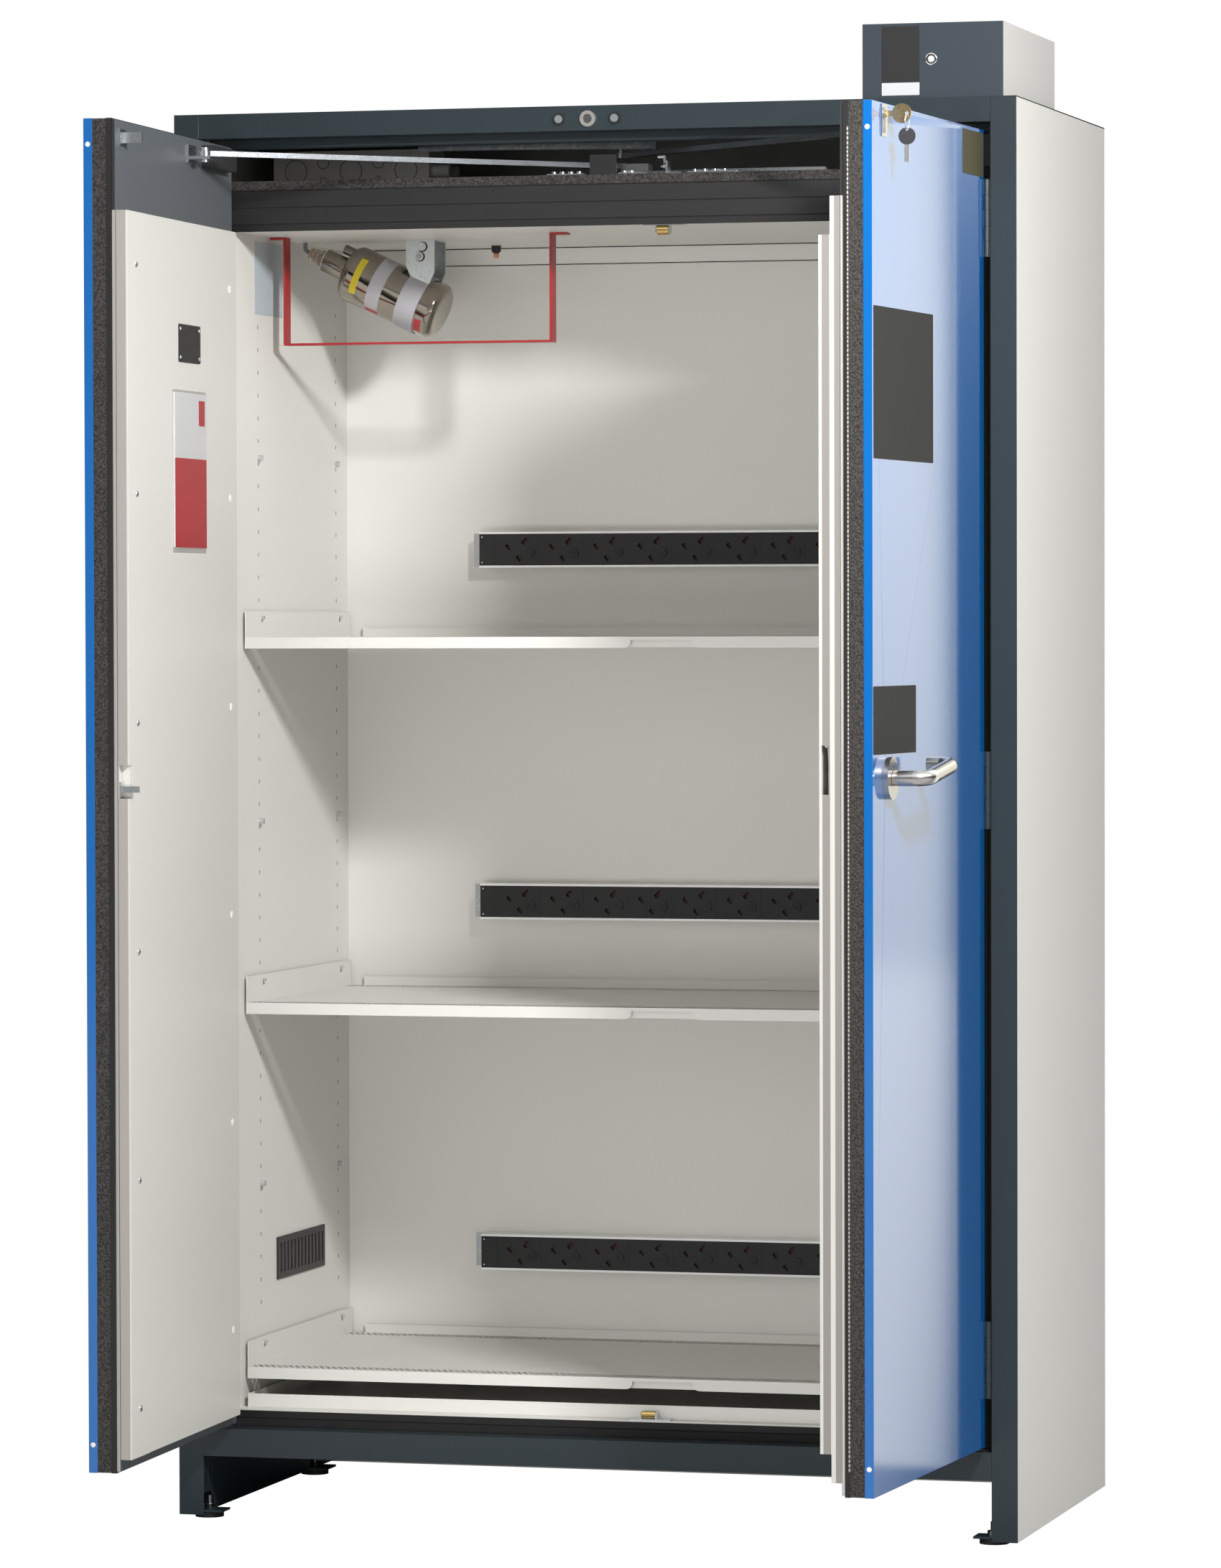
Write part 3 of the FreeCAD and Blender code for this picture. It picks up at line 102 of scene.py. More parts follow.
ROOM_LIGHT = 0.43
CARD_COLOUR = (1.0, 0.99, 0.88)
world = bpy.data.worlds.new("studio_room")
world.use_nodes = True
scene.world = world
tree = world.node_tree
tree.nodes["Background"].inputs["Color"].default_value = (1, 1, 1, 1)
path = add(tree, "LightPath").outputs
way = add(tree, "SeparateXYZ", add(tree, "TexCoord").outputs["Generated"]).outputs
ceiling = ramp(tree, way["Z"], (0.18, 0.58), (0.0, 1.15))
front = ramp(tree, way["Y"], (-0.5, 0.1), (0.26, 0.0))
right = ramp(tree, way["X"], (-0.36, -0.20), (0.35, 1.3))
room = calc(tree, "MAXIMUM", ceiling, calc(tree, "MULTIPLY", front, right))
indirect = blend(tree, "FLOAT", path["Is Glossy Ray"], ROOM_LIGHT, room)
feed(tree, tree.nodes["Background"].inputs["Strength"],
     blend(tree, "FLOAT", seen_directly(tree, path), indirect, 1.0))


def area_light(name, at, towards, wide, tall, power, mirrored, lighting=True):
    """Rectangular light that the camera doesn't see; mirrored ones show in reflections."""
    data = bpy.data.lights.new(name, "AREA")
    data.shape = "RECTANGLE"
    data.size = wide
    data.size_y = tall
    data.energy = power
    lamp = bpy.data.objects.new(name, data)
    scene.collection.objects.link(lamp)
    lamp.location = at
    lamp.rotation_euler = (Vector(towards) - Vector(at)).to_track_quat("-Z", "Y").to_euler()
    lamp.visible_camera = False
    lamp.visible_glossy = mirrored
    lamp.visible_diffuse = lighting
    return data


area_light("boom", (1.50, -2.20, 2.40), (-0.15, 0.1, 1.2), 0.24, 0.24, 78, True)
area_light("front_fill", (-1.4, -5.4, 1.85), (0.1, 0, 1.2), 2.0, 2.0, 28, False)
area_light("low_fill", (0.4, -4.6, 0.35), (-0.1, 0, 0.7), 1.6, 0.7, 44, False)
area_light("side_fill", (3.4, -1.4, 3.4), (0.6, 0, 1.2), 1.4, 1.4, 27, True)
card = area_light("rear_card", (1.600, 0.45, 1.5), (1.600, -1, 1.5), 1.5, 3.0, 21, True, lighting=False)
card.color = CARD_COLOUR
card.use_nodes = True
tree = card.node_tree
height = add(tree, "SeparateXYZ", add(tree, "NewGeometry").outputs["Position"]).outputs["Z"]
feed(tree, tree.nodes["Emission"].inputs["Strength"], ramp(tree, height, (0.0, 1.7), (0.46, 1.0)))

# The paper floor is white to the camera. Mirrored, it is dark except for the part in front of the cabinet
# and the part below the rear card, whose edge runs along x - 0.317 y.
FLOOR_HALF = 14
CARD_EDGE_SLOPE = -0.317
floor_mesh = bpy.data.meshes.new("paper_floor")
floor_mesh.from_pydata([(-FLOOR_HALF, -FLOOR_HALF, 0), (FLOOR_HALF, -FLOOR_HALF, 0),
                        (FLOOR_HALF, FLOOR_HALF, 0), (-FLOOR_HALF, FLOOR_HALF, 0)], [], [(0, 1, 2, 3)])
floor = bpy.data.objects.new("paper_floor", floor_mesh)
scene.collection.objects.link(floor)
paper = bpy.data.materials.new("paper")
paper.use_nodes = True
tree = paper.node_tree
shader = tree.nodes["Principled BSDF"]
shader.inputs["Base Color"].default_value = (0.80, 0.80, 0.80, 1)
shader.inputs["Roughness"].default_value = 0.9
path = add(tree, "LightPath").outputs
place = add(tree, "SeparateXYZ", add(tree, "TexCoord").outputs["Object"]).outputs
past_edge = calc(tree, "MULTIPLY_ADD", place["Y"], CARD_EDGE_SLOPE, place["X"])
below_card = ramp(tree, past_edge, (0.70, 0.82), (0.0, 0.42))
in_front = ramp(tree, place["Y"], (-1.0, -0.35), (0.70, 0.0))
seen = seen_directly(tree, path)
strength = blend(tree, "FLOAT", seen, calc(tree, "MAXIMUM", below_card, in_front), 1.0)
glow = add(tree, "Emission", Strength=strength)
shown = calc(tree, "MAXIMUM", seen, path["Is Glossy Ray"])
mixed = add(tree, "MixShader", shown, shader.outputs[0], glow.outputs[0])
feed(tree, tree.nodes["Material Output"].inputs["Surface"], mixed.outputs[0])
floor_mesh.materials.append(paper)


# Outer sheet metal: light grey powder-coated side and rear panels around an anthracite front frame.
# The coat is sprayed on, so it has a fine orange peel that breaks up every reflection.
def new_group(name, sockets, outputs):
    """Node group with inputs (name, kind, value) and outputs (name, kind), and its two end nodes."""
    group = bpy.data.node_groups.new(name, "ShaderNodeTree")
    for label, kind, value in sockets:
        socket = group.interface.new_socket(label, in_out="INPUT", socket_type="NodeSocket" + kind)
        socket.default_value = value
    for label, kind in outputs:
        group.interface.new_socket(label, in_out="OUTPUT", socket_type="NodeSocket" + kind)
    return group, group.nodes.new("NodeGroupInput").outputs, group.nodes.new("NodeGroupOutput").inputs


PEEL, given, result = new_group(
    "sprayed_peel",
    (("Scale", "Float", 300.0), ("Strength", "Float", 0.1), ("Distance", "Float", 0.0005)),
    (("Normal", "Vector"), ("Mask", "Float")),
)
grain = add(PEEL, "TexNoise", Vector=add(PEEL, "TexCoord").outputs["Object"], Scale=given["Scale"],
            Detail=2.0, Roughness=0.6).outputs["Fac"]
relief = add(PEEL, "Bump", Height=grain, Strength=given["Strength"], Distance=given["Distance"])
feed(PEEL, result["Normal"], relief.outputs[0])
feed(PEEL, result["Mask"], grain)


def bare(name, colour, rough, metal=0.0):
    """New material, its node tree and its shader, with plain values."""
    item = bpy.data.materials.new(name)
    item.use_nodes = True
    shader = item.node_tree.nodes["Principled BSDF"]
    shader.inputs["Base Color"].default_value = (*colour, 1)
    shader.inputs["Roughness"].default_value = rough
    shader.inputs["Metallic"].default_value = metal
    return item, item.node_tree, shader


def coated(name, colour, rough, scale, strength, distance, vary=0.0):
    """Paint, plastic or foam: a plain colour that varies with the grain, and the grain as relief."""
    item, tree, shader = bare(name, colour, rough)
    peel = add(tree, "Group", node_tree=PEEL, Scale=scale, Strength=strength, Distance=distance)
    feed(tree, shader.inputs["Normal"], peel.outputs["Normal"])
    if vary:
        spread = ramp(tree, peel.outputs["Mask"], (0.35, 0.65), (1 - vary, 1 + vary))
        tint = add(tree, "VectorMath", colour, operation="SCALE", Scale=spread)
        feed(tree, shader.inputs["Base Color"], tint.outputs[0])
    return item


def dress(names, *looks, pick=None):
    """Gives CAD nodes their materials; pick(centre, normal) chooses one by number for each face."""
    for name in names.split():
        mesh = nodes[name].data
        mesh.materials.clear()
        for look in looks:
            mesh.materials.append(look)
        for face in mesh.polygons:
            face.material_index = 0 if pick is None else pick(face.center, face.normal)


def ease_edges(names, width=0.0006):
    """Rolled sheet edges: merges the triangles and rounds the corners so that they catch the light."""
    for name in names.split():
        weld = nodes[name].modifiers.new("weld", "WELD")
        weld.merge_threshold = 0.00001
        bevel = nodes[name].modifiers.new("rolled_edge", "BEVEL")
        bevel.width = width
        bevel.segments = 2
        bevel.limit_method = "ANGLE"
        bevel.angle_limit = math.radians(50)
        bevel.harden_normals = True


SIDE_GREY = coated("side_paint", (0.66, 0.65, 0.615), 0.40, 700, 0.15, 0.0003)
ANTHRACITE = coated("anthracite_paint", (0.020, 0.029, 0.034), 0.30, 420, 0.30, 0.0005)
ROOF_DARK = coated("roof_board", (0.030, 0.030, 0.030), 0.8, 300, 0.3, 0.0005)
dress("side_panel_left side_panel_right rear_panel", SIDE_GREY)
dress("front_posts top_fascia base_frame", ANTHRACITE)
dress("top_panel", ANTHRACITE, ROOF_DARK, pick=lambda at, way: 1 if way.z < -0.5 else 0)
dress("insulation_boards", ROOF_DARK)
ease_edges("side_panel_left side_panel_right rear_panel front_posts top_fascia base_frame")


# Inner lining: folded sheet in warm light grey. Each side wall has two columns of narrow shelf slots,
# punched every 32 mm and drawn in painted shade, and a folded strip with two dark joints runs along the top
# of the rear wall.
LINING_COLOUR = (0.70, 0.69, 0.65)
# Painted shade that stands for the dark inside of each slot opening.
SLOT_SHADE = (0.03, 0.025, 0.02)
SLOT_COLUMNS = (-0.157, 0.203)
SLOT_PITCH = 0.032
SLOT_WIDE = 0.0028
SLOT_TALL = 0.0056
SLOTS_FROM, SLOTS_TO = 0.28, 1.70
TO_FRONT = (0, -1, 0)
REAR_WALL_Y = 0.240
REAR_WALL_HALF = 0.523
REAR_JOINTS_Z = (1.7915, 1.7672)
REAR_JOINT_TALL = 0.0013


def lining_paint(name):
    """The powder coat of the whole inside, smoother than the one outside."""
    return coated(name, LINING_COLOUR, 0.42, 900, 0.12, 0.0002)


def punched_wall(name):
    """Painted slot shade where y is near a column of slots and z near a multiple of the pitch, between two
    heights.
    """
    item = lining_paint(name)
    tree = item.node_tree
    place = add(tree, "SeparateXYZ", add(tree, "TexCoord").outputs["Object"]).outputs
    column = calc(tree, "ADD", *(calc(tree, "COMPARE", place["Y"], y, SLOT_WIDE / 2) for y in SLOT_COLUMNS))
    row = calc(tree, "LESS_THAN", calc(tree, "PINGPONG", place["Z"], SLOT_PITCH / 2), SLOT_TALL / 2)
    height = calc(tree, "COMPARE", place["Z"], (SLOTS_FROM + SLOTS_TO) / 2, (SLOTS_TO - SLOTS_FROM) / 2)
    hole = calc(tree, "MULTIPLY", calc(tree, "MULTIPLY", column, row), height)
    feed(tree, tree.nodes["Principled BSDF"].inputs["Base Color"],
         blend(tree, "RGBA", hole, (*LINING_COLOUR, 1), (*SLOT_SHADE, 1)))
    return item


def wall(at, out, up=(0, 0, 1)):
    """Frame on a wall at a point: Z points out of the wall, X along it and Y up."""
    z = Vector(out).normalized()
    x = Vector(up).cross(z).normalized()
    y = z.cross(x)
    return Matrix.Translation(at) @ Matrix((x, y, z)).transposed().to_4x4()


def plate(outline, low, high):
    """Prism: the outline at two heights, with a quad on each side and a polygon on each end."""
    outline = np.array(outline, float)
    count = len(outline)
    points = np.concatenate([np.c_[outline, np.full(count, low)], np.c_[outline, np.full(count, high)]])
    first = np.arange(count)
    second = (first + 1) % count
    sides = np.stack([first, second, second + count, first + count], axis=-1)
    return points, [*sides, first[::-1], first + count]


def piece(name, shapes, looks, body):
    """One object of several shapes: (points and faces, frame, number of its look)."""
    mesh = bpy.data.meshes.new(name)
    points, faces, kinds, count = [], [], [], 0
    for (local, polygons), place, kind in shapes:
        matrix = np.array(place)
        points.append(local @ matrix[:3, :3].T + matrix[:3, 3])
        faces += [(corners + count).tolist() for corners in polygons]
        kinds += [kind] * len(polygons)
        count += len(local)
    mesh.from_pydata(np.concatenate(points).tolist(), [], faces)
    mesh.polygons.foreach_set("material_index", kinds)
    shell = bmesh.new()
    shell.from_mesh(mesh)
    bmesh.ops.remove_doubles(shell, verts=shell.verts, dist=1e-7)
    bmesh.ops.recalc_face_normals(shell, faces=shell.faces)
    shell.to_mesh(mesh)
    shell.free()
    for look in looks:
        mesh.materials.append(look)
    mesh.shade_smooth()
    mesh.set_sharp_from_angle(angle=math.radians(35))
    item = bpy.data.objects.new(name, mesh)
    scene.collection.objects.link(item)
    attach(item, body)


def joint_line(left, right, low, high, y):
    """Flat dark rectangle that faces the front."""
    outline = [(left, low), (right, low), (right, high), (left, high)]
    return plate(outline, -0.0002, 0.0001), wall((0, y, 0), TO_FRONT), 0


JOINT = bare("joint_shadow", (0.003, 0.003, 0.003), 0.9)[0]
LINING = lining_paint("lining_paint")
dress("liner_left liner_right", punched_wall("punched_lining_paint"))
dress("liner_rear liner_ceiling liner_floor", LINING)
piece("rear_wall_joints", [
    joint_line(-REAR_WALL_HALF, REAR_WALL_HALF, z, z + REAR_JOINT_TALL, REAR_WALL_Y) for z in REAR_JOINTS_Z
], (JOINT,), "carcass")


# Seals on the front edge of the inner body: a rough outer band, two bands of woven tape that swells in a
# fire, and a rubber strip innermost, with a narrow dark gap between each two.
EDGE_HALF = 0.577
EDGE_LOW = 0.097
EDGE_TOP = 1.862
SEAL_Y = -0.2645
GAP_HALF = 0.0009
RIB_SCALE = 260.0
# Where each band ends: its distance from the sides, from the top and from the bottom of the front edge.
BAND_ENDS = ((0.014, 0.0134, 0.013), (0.029, 0.037, 0.028), (0.040, 0.060, 0.040))


def woven_tape(name):
    """Fine diagonal ribs: a sine along x times a coarser one along z, both turned by 38 degrees."""
    item, tree, shader = bare(name, (0.012, 0.012, 0.012), 0.55)
    turned_by = add(tree, "Mapping", Vector=add(tree, "TexCoord").outputs["Object"],
                    Rotation=(0, math.radians(38), 0)).outputs[0]
    ribs = add(tree, "TexWave", turned_by, wave_type="BANDS", bands_direction="X", Scale=RIB_SCALE)
    cross = add(tree, "TexWave", turned_by, wave_type="BANDS", bands_direction="Z", Scale=RIB_SCALE * 0.6)
    weave = calc(tree, "MULTIPLY", ribs.outputs["Fac"], cross.outputs["Fac"])
    relief = add(tree, "Bump", Strength=0.8, Distance=0.0004, Height=weave)
    feed(tree, shader.inputs["Normal"], relief.outputs[0])
    feed(tree, shader.inputs["Base Color"], ramp(tree, weave, (0, 1), (0.002, 0.018)))
    return item


def seal_band(at, way):
    """Look of a face by the number of band ends that lie outside it."""
    passed = sum(abs(at.x) < EDGE_HALF - side and EDGE_LOW + low < at.z < EDGE_TOP - top
                 for side, top, low in BAND_ENDS)
    return (0, 1, 1, 2)[passed]


FOAM = coated("swelling_foam", (0.031, 0.028, 0.026), 0.85, 380, 1.0, 0.0022, vary=0.7)
RUBBER = coated("seal_rubber", (0.011, 0.010, 0.010), 0.5, 160, 0.2, 0.0008)
dress("frame_seals", FOAM, woven_tape("woven_tape"), RUBBER, pick=seal_band)
gaps = []
for side, top, low in BAND_ENDS:
    x, bottom, ceiling = EDGE_HALF - side, EDGE_LOW + low, EDGE_TOP - top
    for z in (bottom, ceiling):
        gaps.append(joint_line(-x, x, z - GAP_HALF, z + GAP_HALF, SEAL_Y))
    for middle in (-x, x):
        gaps.append(joint_line(middle - GAP_HALF, middle + GAP_HALF, bottom, ceiling, SEAL_Y))
piece("seal_joints", gaps, (JOINT,), "carcass")


# Shelves: three folded decks of the same coated sheet, hung on zinc-plated studs in the wall slots. Three
# rows of slanted oval holes run along the front and the rear edge of each deck, so that air passes.
HOLE_PITCH = 0.009
HOLE_LEAN = 0.7
HOLE_HALF_WIDE = 0.0028
HOLE_HALF_LONG = 0.0033
HOLE_ROWS = [edge + number * HOLE_PITCH for edge in (-0.218, 0.218) for number in range(3)]


def perforated(name):
    """Clear in each row where the point, sheared by the lean and wrapped to the pitch, lies in an ellipse.
    Every second row is shifted by half the pitch, and only level faces have holes."""
    item = lining_paint(name)
    tree = item.node_tree
    place = add(tree, "SeparateXYZ", add(tree, "TexCoord").outputs["Object"]).outputs
    facing = add(tree, "SeparateXYZ", add(tree, "NewGeometry").outputs["True Normal"]).outputs["Z"]
    holes = 0.0
    for number, row in enumerate(HOLE_ROWS):
        along = calc(tree, "SUBTRACT", place["Y"], row)
        sheared = calc(tree, "MULTIPLY_ADD", along, HOLE_LEAN, place["X"])
        shifted = calc(tree, "ADD", sheared, HOLE_PITCH / 2 * (number % 2))
        across = calc(tree, "WRAP", shifted, HOLE_PITCH / 2, -HOLE_PITCH / 2)
        offset = add(tree, "CombineXYZ", across, along).outputs[0]
        scaled = add(tree, "VectorMath", offset, (1 / HOLE_HALF_WIDE, 1 / HOLE_HALF_LONG, 0),
                     operation="MULTIPLY")
        radius = add(tree, "VectorMath", scaled.outputs[0], operation="LENGTH").outputs["Value"]
        holes = calc(tree, "MAXIMUM", holes, calc(tree, "LESS_THAN", radius, 1.0))
    level = calc(tree, "GREATER_THAN", calc(tree, "ABSOLUTE", facing), 0.9)
    feed(tree, tree.nodes["Principled BSDF"].inputs["Alpha"],
         calc(tree, "SUBTRACT", 1.0, calc(tree, "MULTIPLY", level, holes)))
    return item


# Rolled, drawn or turned metal: a noise stretched along the grain as relief and as change of the polish.
GRAIN, given, result = new_group(
    "metal_grain",
    (("Stretch", "Vector", (60, 60, 60)), ("Strength", "Float", 0.12)),
    (("Normal", "Vector"), ("Mask", "Float")),
)
stretched = add(GRAIN, "Mapping", Vector=add(GRAIN, "TexCoord").outputs["Object"], Scale=given["Stretch"])
noise = add(GRAIN, "TexNoise", Vector=stretched.outputs[0], Scale=1.0, Detail=3.0).outputs["Fac"]
relief = add(GRAIN, "Bump", Height=noise, Strength=given["Strength"], Distance=0.0002)
feed(GRAIN, result["Normal"], relief.outputs[0])
feed(GRAIN, result["Mask"], noise)


def metal(name, colour, rough, stretch, strength=0.12, spread=0.1):
    """Metal whose roughness lies within the spread of its mean and follows the grain."""
    item, tree, shader = bare(name, colour, rough, 1.0)
    grain = add(tree, "Group", node_tree=GRAIN, Stretch=stretch, Strength=strength)
    feed(tree, shader.inputs["Normal"], grain.outputs["Normal"])
    feed(tree, shader.inputs["Roughness"],
         ramp(tree, grain.outputs["Mask"], (0, 1), (max(0.02, rough - spread), rough + spread)))
    return item


ZINC = metal("zinc_plate", (0.70, 0.73, 0.75), 0.24, (220, 220, 220))
dress("shelf_upper shelf_middle shelf_lower", perforated("perforated_deck"))
dress("shelf_studs", ZINC)
dress("sump_tray", LINING)
ease_edges("sump_tray")


# Socket strips: an aluminium rail on folded zinc-plated end brackets, with nine black socket modules and
# two end caps snapped into it. Each module has three slots with brown shutters and a screw-in fuse cap.
STRIPS_Z = (1.3535, 0.8415, 0.3295)
MODULES = 9
MODULE_WIDE = 0.0663
MODULES_FROM_X = -0.287
GROOVES_FROM_X = MODULES_FROM_X - 0.00015
MODULE_TALL = 0.0448
BRACKET_TO_X = -0.3105
SOCKET_Y = 0.215
FRAME_Y = 0.217
SHUTTER_Y = 0.219
FUSE_FROM_EDGE = 0.052
FUSE_BELOW_MIDDLE = 0.005
FUSE_RING = [(0.0050, 0.0), (0.0050, 0.0004), (0.0058, 0.0004), (0.0058, 0.0)]
END_CAPS_X = (-0.3065, 0.3295)
END_SCREW_Z = 0.0185
END_SCREW_SHADE_RADIUS = 0.0028
END_SCREW_RADIUS = 0.0014
FUSE_SLOT_TURN = math.radians(-38)
# Width, height and corner radius of the slot in a fuse cap, and of the groove between two modules.
FUSE_SLOT = (0.0092, 0.0012, 0.0005)
MODULE_GROOVE = (0.0005, MODULE_TALL, 0.0001)
QUARTERS = np.array((1, 1j, -1, -1j))


def turned(profile, sides=32):
    """Surface of revolution: (r cos a, r sin a, z) for each (r, z) of the profile and angle a."""
    radius, height = np.array(profile, float).T
    angle = np.linspace(0, 2 * np.pi, sides, endpoint=False)
    points = np.stack([
        np.outer(radius, np.cos(angle)), np.outer(radius, np.sin(angle)), np.outer(height, np.ones(sides)),
    ], axis=-1).reshape(-1, 3)
    ring, step = np.meshgrid(np.arange(len(radius) - 1), np.arange(sides), indexing="ij")
    first, second = ring * sides + step, ring * sides + (step + 1) % sides
    return points, [*np.stack([first, second, second + sides, first + sides], axis=-1).reshape(-1, 4)]


def rounded(wide, tall, radius, steps=5):
    """Rectangle with round corners: the quarter circle r (cos a, sin a), turned by quarters of a turn and
    set at the centre of each corner. The points are complex numbers until the end."""
    arc = radius * np.exp(1j * np.linspace(0, np.pi / 2, steps))
    x, y = wide / 2 - radius, (tall / 2 - radius) * 1j
    centres = np.array((x + y, y - x, -x - y, x - y))
    points = (QUARTERS[:, None] * arc + centres[:, None]).ravel()
    return np.c_[points.real, points.imag]


def dome(radius, tall, flat=0.35):
    """Profile of a domed head with a small flat top: r (f + (1 - f) cos a) and h sin a up to 90 degrees."""
    angle = np.linspace(0, np.pi / 2, 7)[1:]
    rise = np.c_[radius * (flat + (1 - flat) * np.cos(angle)), tall * np.sin(angle)]
    return np.vstack([[(0, 0), (radius, 0)], rise, [(0, tall)]])


def disc(radius, tall):
    """Profile of a flat round plate."""
    return [(0, 0), (radius, 0), (radius, tall), (0, tall)]


ALUMINIUM = metal("rail_metal", (0.92, 0.92, 0.92), 0.40, (30, 900, 900))
ALUMINIUM.node_tree.nodes["Principled BSDF"].inputs["Metallic"].default_value = 0.35
BLACK_PLASTIC = coated("black_plastic", (0.014, 0.014, 0.015), 0.40, 900, 0.15, 0.0001)
SHUTTER = coated("shutter_plastic", (0.060, 0.026, 0.020), 0.5, 300, 0.1, 0.0002)
# Near black for the insides of slots, grooves and cross recesses and the rings round screw heads: painted
# shade where little light gets in.
RECESS_SHADE = bare("painted_recess_shade", (0.004, 0.004, 0.004), 0.7)[0]
dress("socket_rails", ALUMINIUM, ZINC, pick=lambda at, way: 1 if at.x < BRACKET_TO_X else 0)
dress("socket_modules", BLACK_PLASTIC, SHUTTER,
      pick=lambda at, way: 1 if way.y < -0.5 and at.y > SHUTTER_Y else 0)
caps, ends, grooves = [], [], []
for middle in STRIPS_Z:
    for number in range(MODULES):
        x = MODULES_FROM_X + MODULE_WIDE * number + FUSE_FROM_EDGE
        at = wall((x, SOCKET_Y, middle - FUSE_BELOW_MIDDLE), TO_FRONT)
        # The slot in each fuse cap is drawn as painted recess shade.
        slot = at @ Matrix.Rotation(FUSE_SLOT_TURN, 4, "Z")
        caps += [(turned(FUSE_RING), at, 0), (plate(rounded(*FUSE_SLOT), -0.0001, 0.00012), slot, 1)]
    # Each end screw sits in a dark disc of painted recess shade.
    for x in END_CAPS_X:
        for z in (-END_SCREW_Z, END_SCREW_Z):
            at = wall((x, FRAME_Y, middle + z), TO_FRONT)
            ends += [(turned(disc(END_SCREW_SHADE_RADIUS, 0.0003)), at, 1),
                     (turned(dome(END_SCREW_RADIUS, 0.0005)), at, 0)]
    # The joints between the modules are thin strips of painted shade.
    for number in range(MODULES + 1):
        at = wall((GROOVES_FROM_X + MODULE_WIDE * number, FRAME_Y, middle), TO_FRONT)
        grooves.append((plate(rounded(*MODULE_GROOVE), -0.0001, 0.00004), at, 0))
piece("fuse_cap_rings", caps, (BLACK_PLASTIC, RECESS_SHADE), "carcass")
piece("end_cap_screws", ends, (ZINC, RECESS_SHADE), "carcass")
piece("module_joints", grooves, (RECESS_SHADE,), "carcass")


# Extinguisher: a polished steel can in a zinc strap under the ceiling, tilted about Y, with a nickel gland
# at its neck. Bare bands in grey and yellow lie round it, and two red patches low on its front are a painted
# reflection of the red bar that guards it from below.
CAN_AT = (-0.449, 0.030, 1.752)
CAN_TILT = math.radians(24.6)
CAN_NECK_X = -0.0382
CAN_RADIUS = 0.0436
STRAP_FROM_X = 0.095
CAN_FRAME = Matrix.Translation(CAN_AT) @ Matrix.Rotation(CAN_TILT, 4, "Y")
CAN_INVERSE = CAN_FRAME.inverted()
CAN_AXIS = CAN_FRAME @ Matrix.Rotation(math.radians(-90), 4, "Y")
CAN_STEEL = (0.38, 0.345, 0.30)
GUARD_BAR_REFLECTION_RED = (0.42, 0.030, 0.035)
# Each band or patch of painted reflection: colour, its stretch of the can's axis in metres, and its sector
# from the front in degrees.
CAN_BANDS_AND_REFLECTION = (
    ((0.47, 0.46, 0.49), (0.048, 0.069), (-100, 80)),
    ((0.72, 0.58, 0.03), (0.021, 0.031), (-38, 42)),
    # The two red entries are the painted reflection of the red guard bar on the can's lower front.
    (GUARD_BAR_REFLECTION_RED, (0.049, 0.069), (-75, -58)),
    (GUARD_BAR_REFLECTION_RED, (0.128, 0.139), (-62, -28)),
)
BOLTS_Y = -0.0025
BOLTS_XZ = ((-0.330, 1.783), (-0.334, 1.769))
BOLT_HEX_RADIUS = 0.0044
BOLT_STUD_RADIUS = 0.0022
SHADE_RING_BACK = 0.0040
CABLE_COLLAR = [(0.0079, 0.0585), (0.0092, 0.0592), (0.0092, 0.0622), (0.0060, 0.0636), (0.0033, 0.0636)]


def within(tree, value, low, high):
    """1 where the value lies between the two limits, otherwise 0."""
    return calc(tree, "COMPARE", value, (low + high) / 2, (high - low) / 2)


def banded_can(name):
    """Polished steel with bands and a painted red reflection of the guard bar: x along the can and the angle
    of (z, -y) decide which one covers it.
    """
    item, tree, shader = bare(name, CAN_STEEL, 0.10, 1.0)
    upright = add(tree, "Mapping", add(tree, "TexCoord").outputs["Object"], vector_type="TEXTURE",
                  Location=CAN_AT, Rotation=(0, CAN_TILT, 0)).outputs[0]
    place = add(tree, "SeparateXYZ", upright).outputs
    angle = calc(tree, "ARCTAN2", place["Z"], calc(tree, "MULTIPLY", place["Y"], -1.0))
    grain = add(tree, "Mapping", Vector=upright, Scale=(900, 30, 30)).outputs[0]
    noise = add(tree, "TexNoise", Vector=grain, Scale=1.0, Detail=2.0).outputs["Fac"]
    polish = ramp(tree, noise, (0, 1), (0.04, 0.15))
    colour, cover = (*CAN_STEEL, 1), 0.0
    for tone, stretch, sector in CAN_BANDS_AND_REFLECTION:
        band = calc(tree, "MULTIPLY", within(tree, place["X"], *stretch),
                    within(tree, angle, *np.radians(sector)))
        colour = blend(tree, "RGBA", band, colour, (*tone, 1))
        cover = calc(tree, "MAXIMUM", cover, band)
    feed(tree, shader.inputs["Base Color"], colour)
    feed(tree, shader.inputs["Metallic"], ramp(tree, cover, (0, 1), (1, 0)))
    feed(tree, shader.inputs["Roughness"], blend(tree, "FLOAT", cover, polish, 0.45))
    return item


def on_can(at):
    """The point in the can's own axes, X along the can."""
    return CAN_INVERSE @ Vector(at)


def strap_part(at, way):
    """The lining lies inside the strap: closer to the axis than the can's radius, and not on its edges."""
    local = on_can(at)
    lining = math.hypot(local.y, local.z) < CAN_RADIUS and local.x > STRAP_FROM_X and abs(way.y) < 0.999
    return 1 if lining else 0


def hexagon(radius):
    """Six points r (cos a, sin a)."""
    angle = np.arange(6) * np.pi / 3
    return radius * np.c_[np.cos(angle), np.sin(angle)]


def ring(inner, outer, low, high):
    """Flat turned ring between two radii and two heights."""
    return turned([(inner, low), (outer, low), (outer, high), (inner, high)])


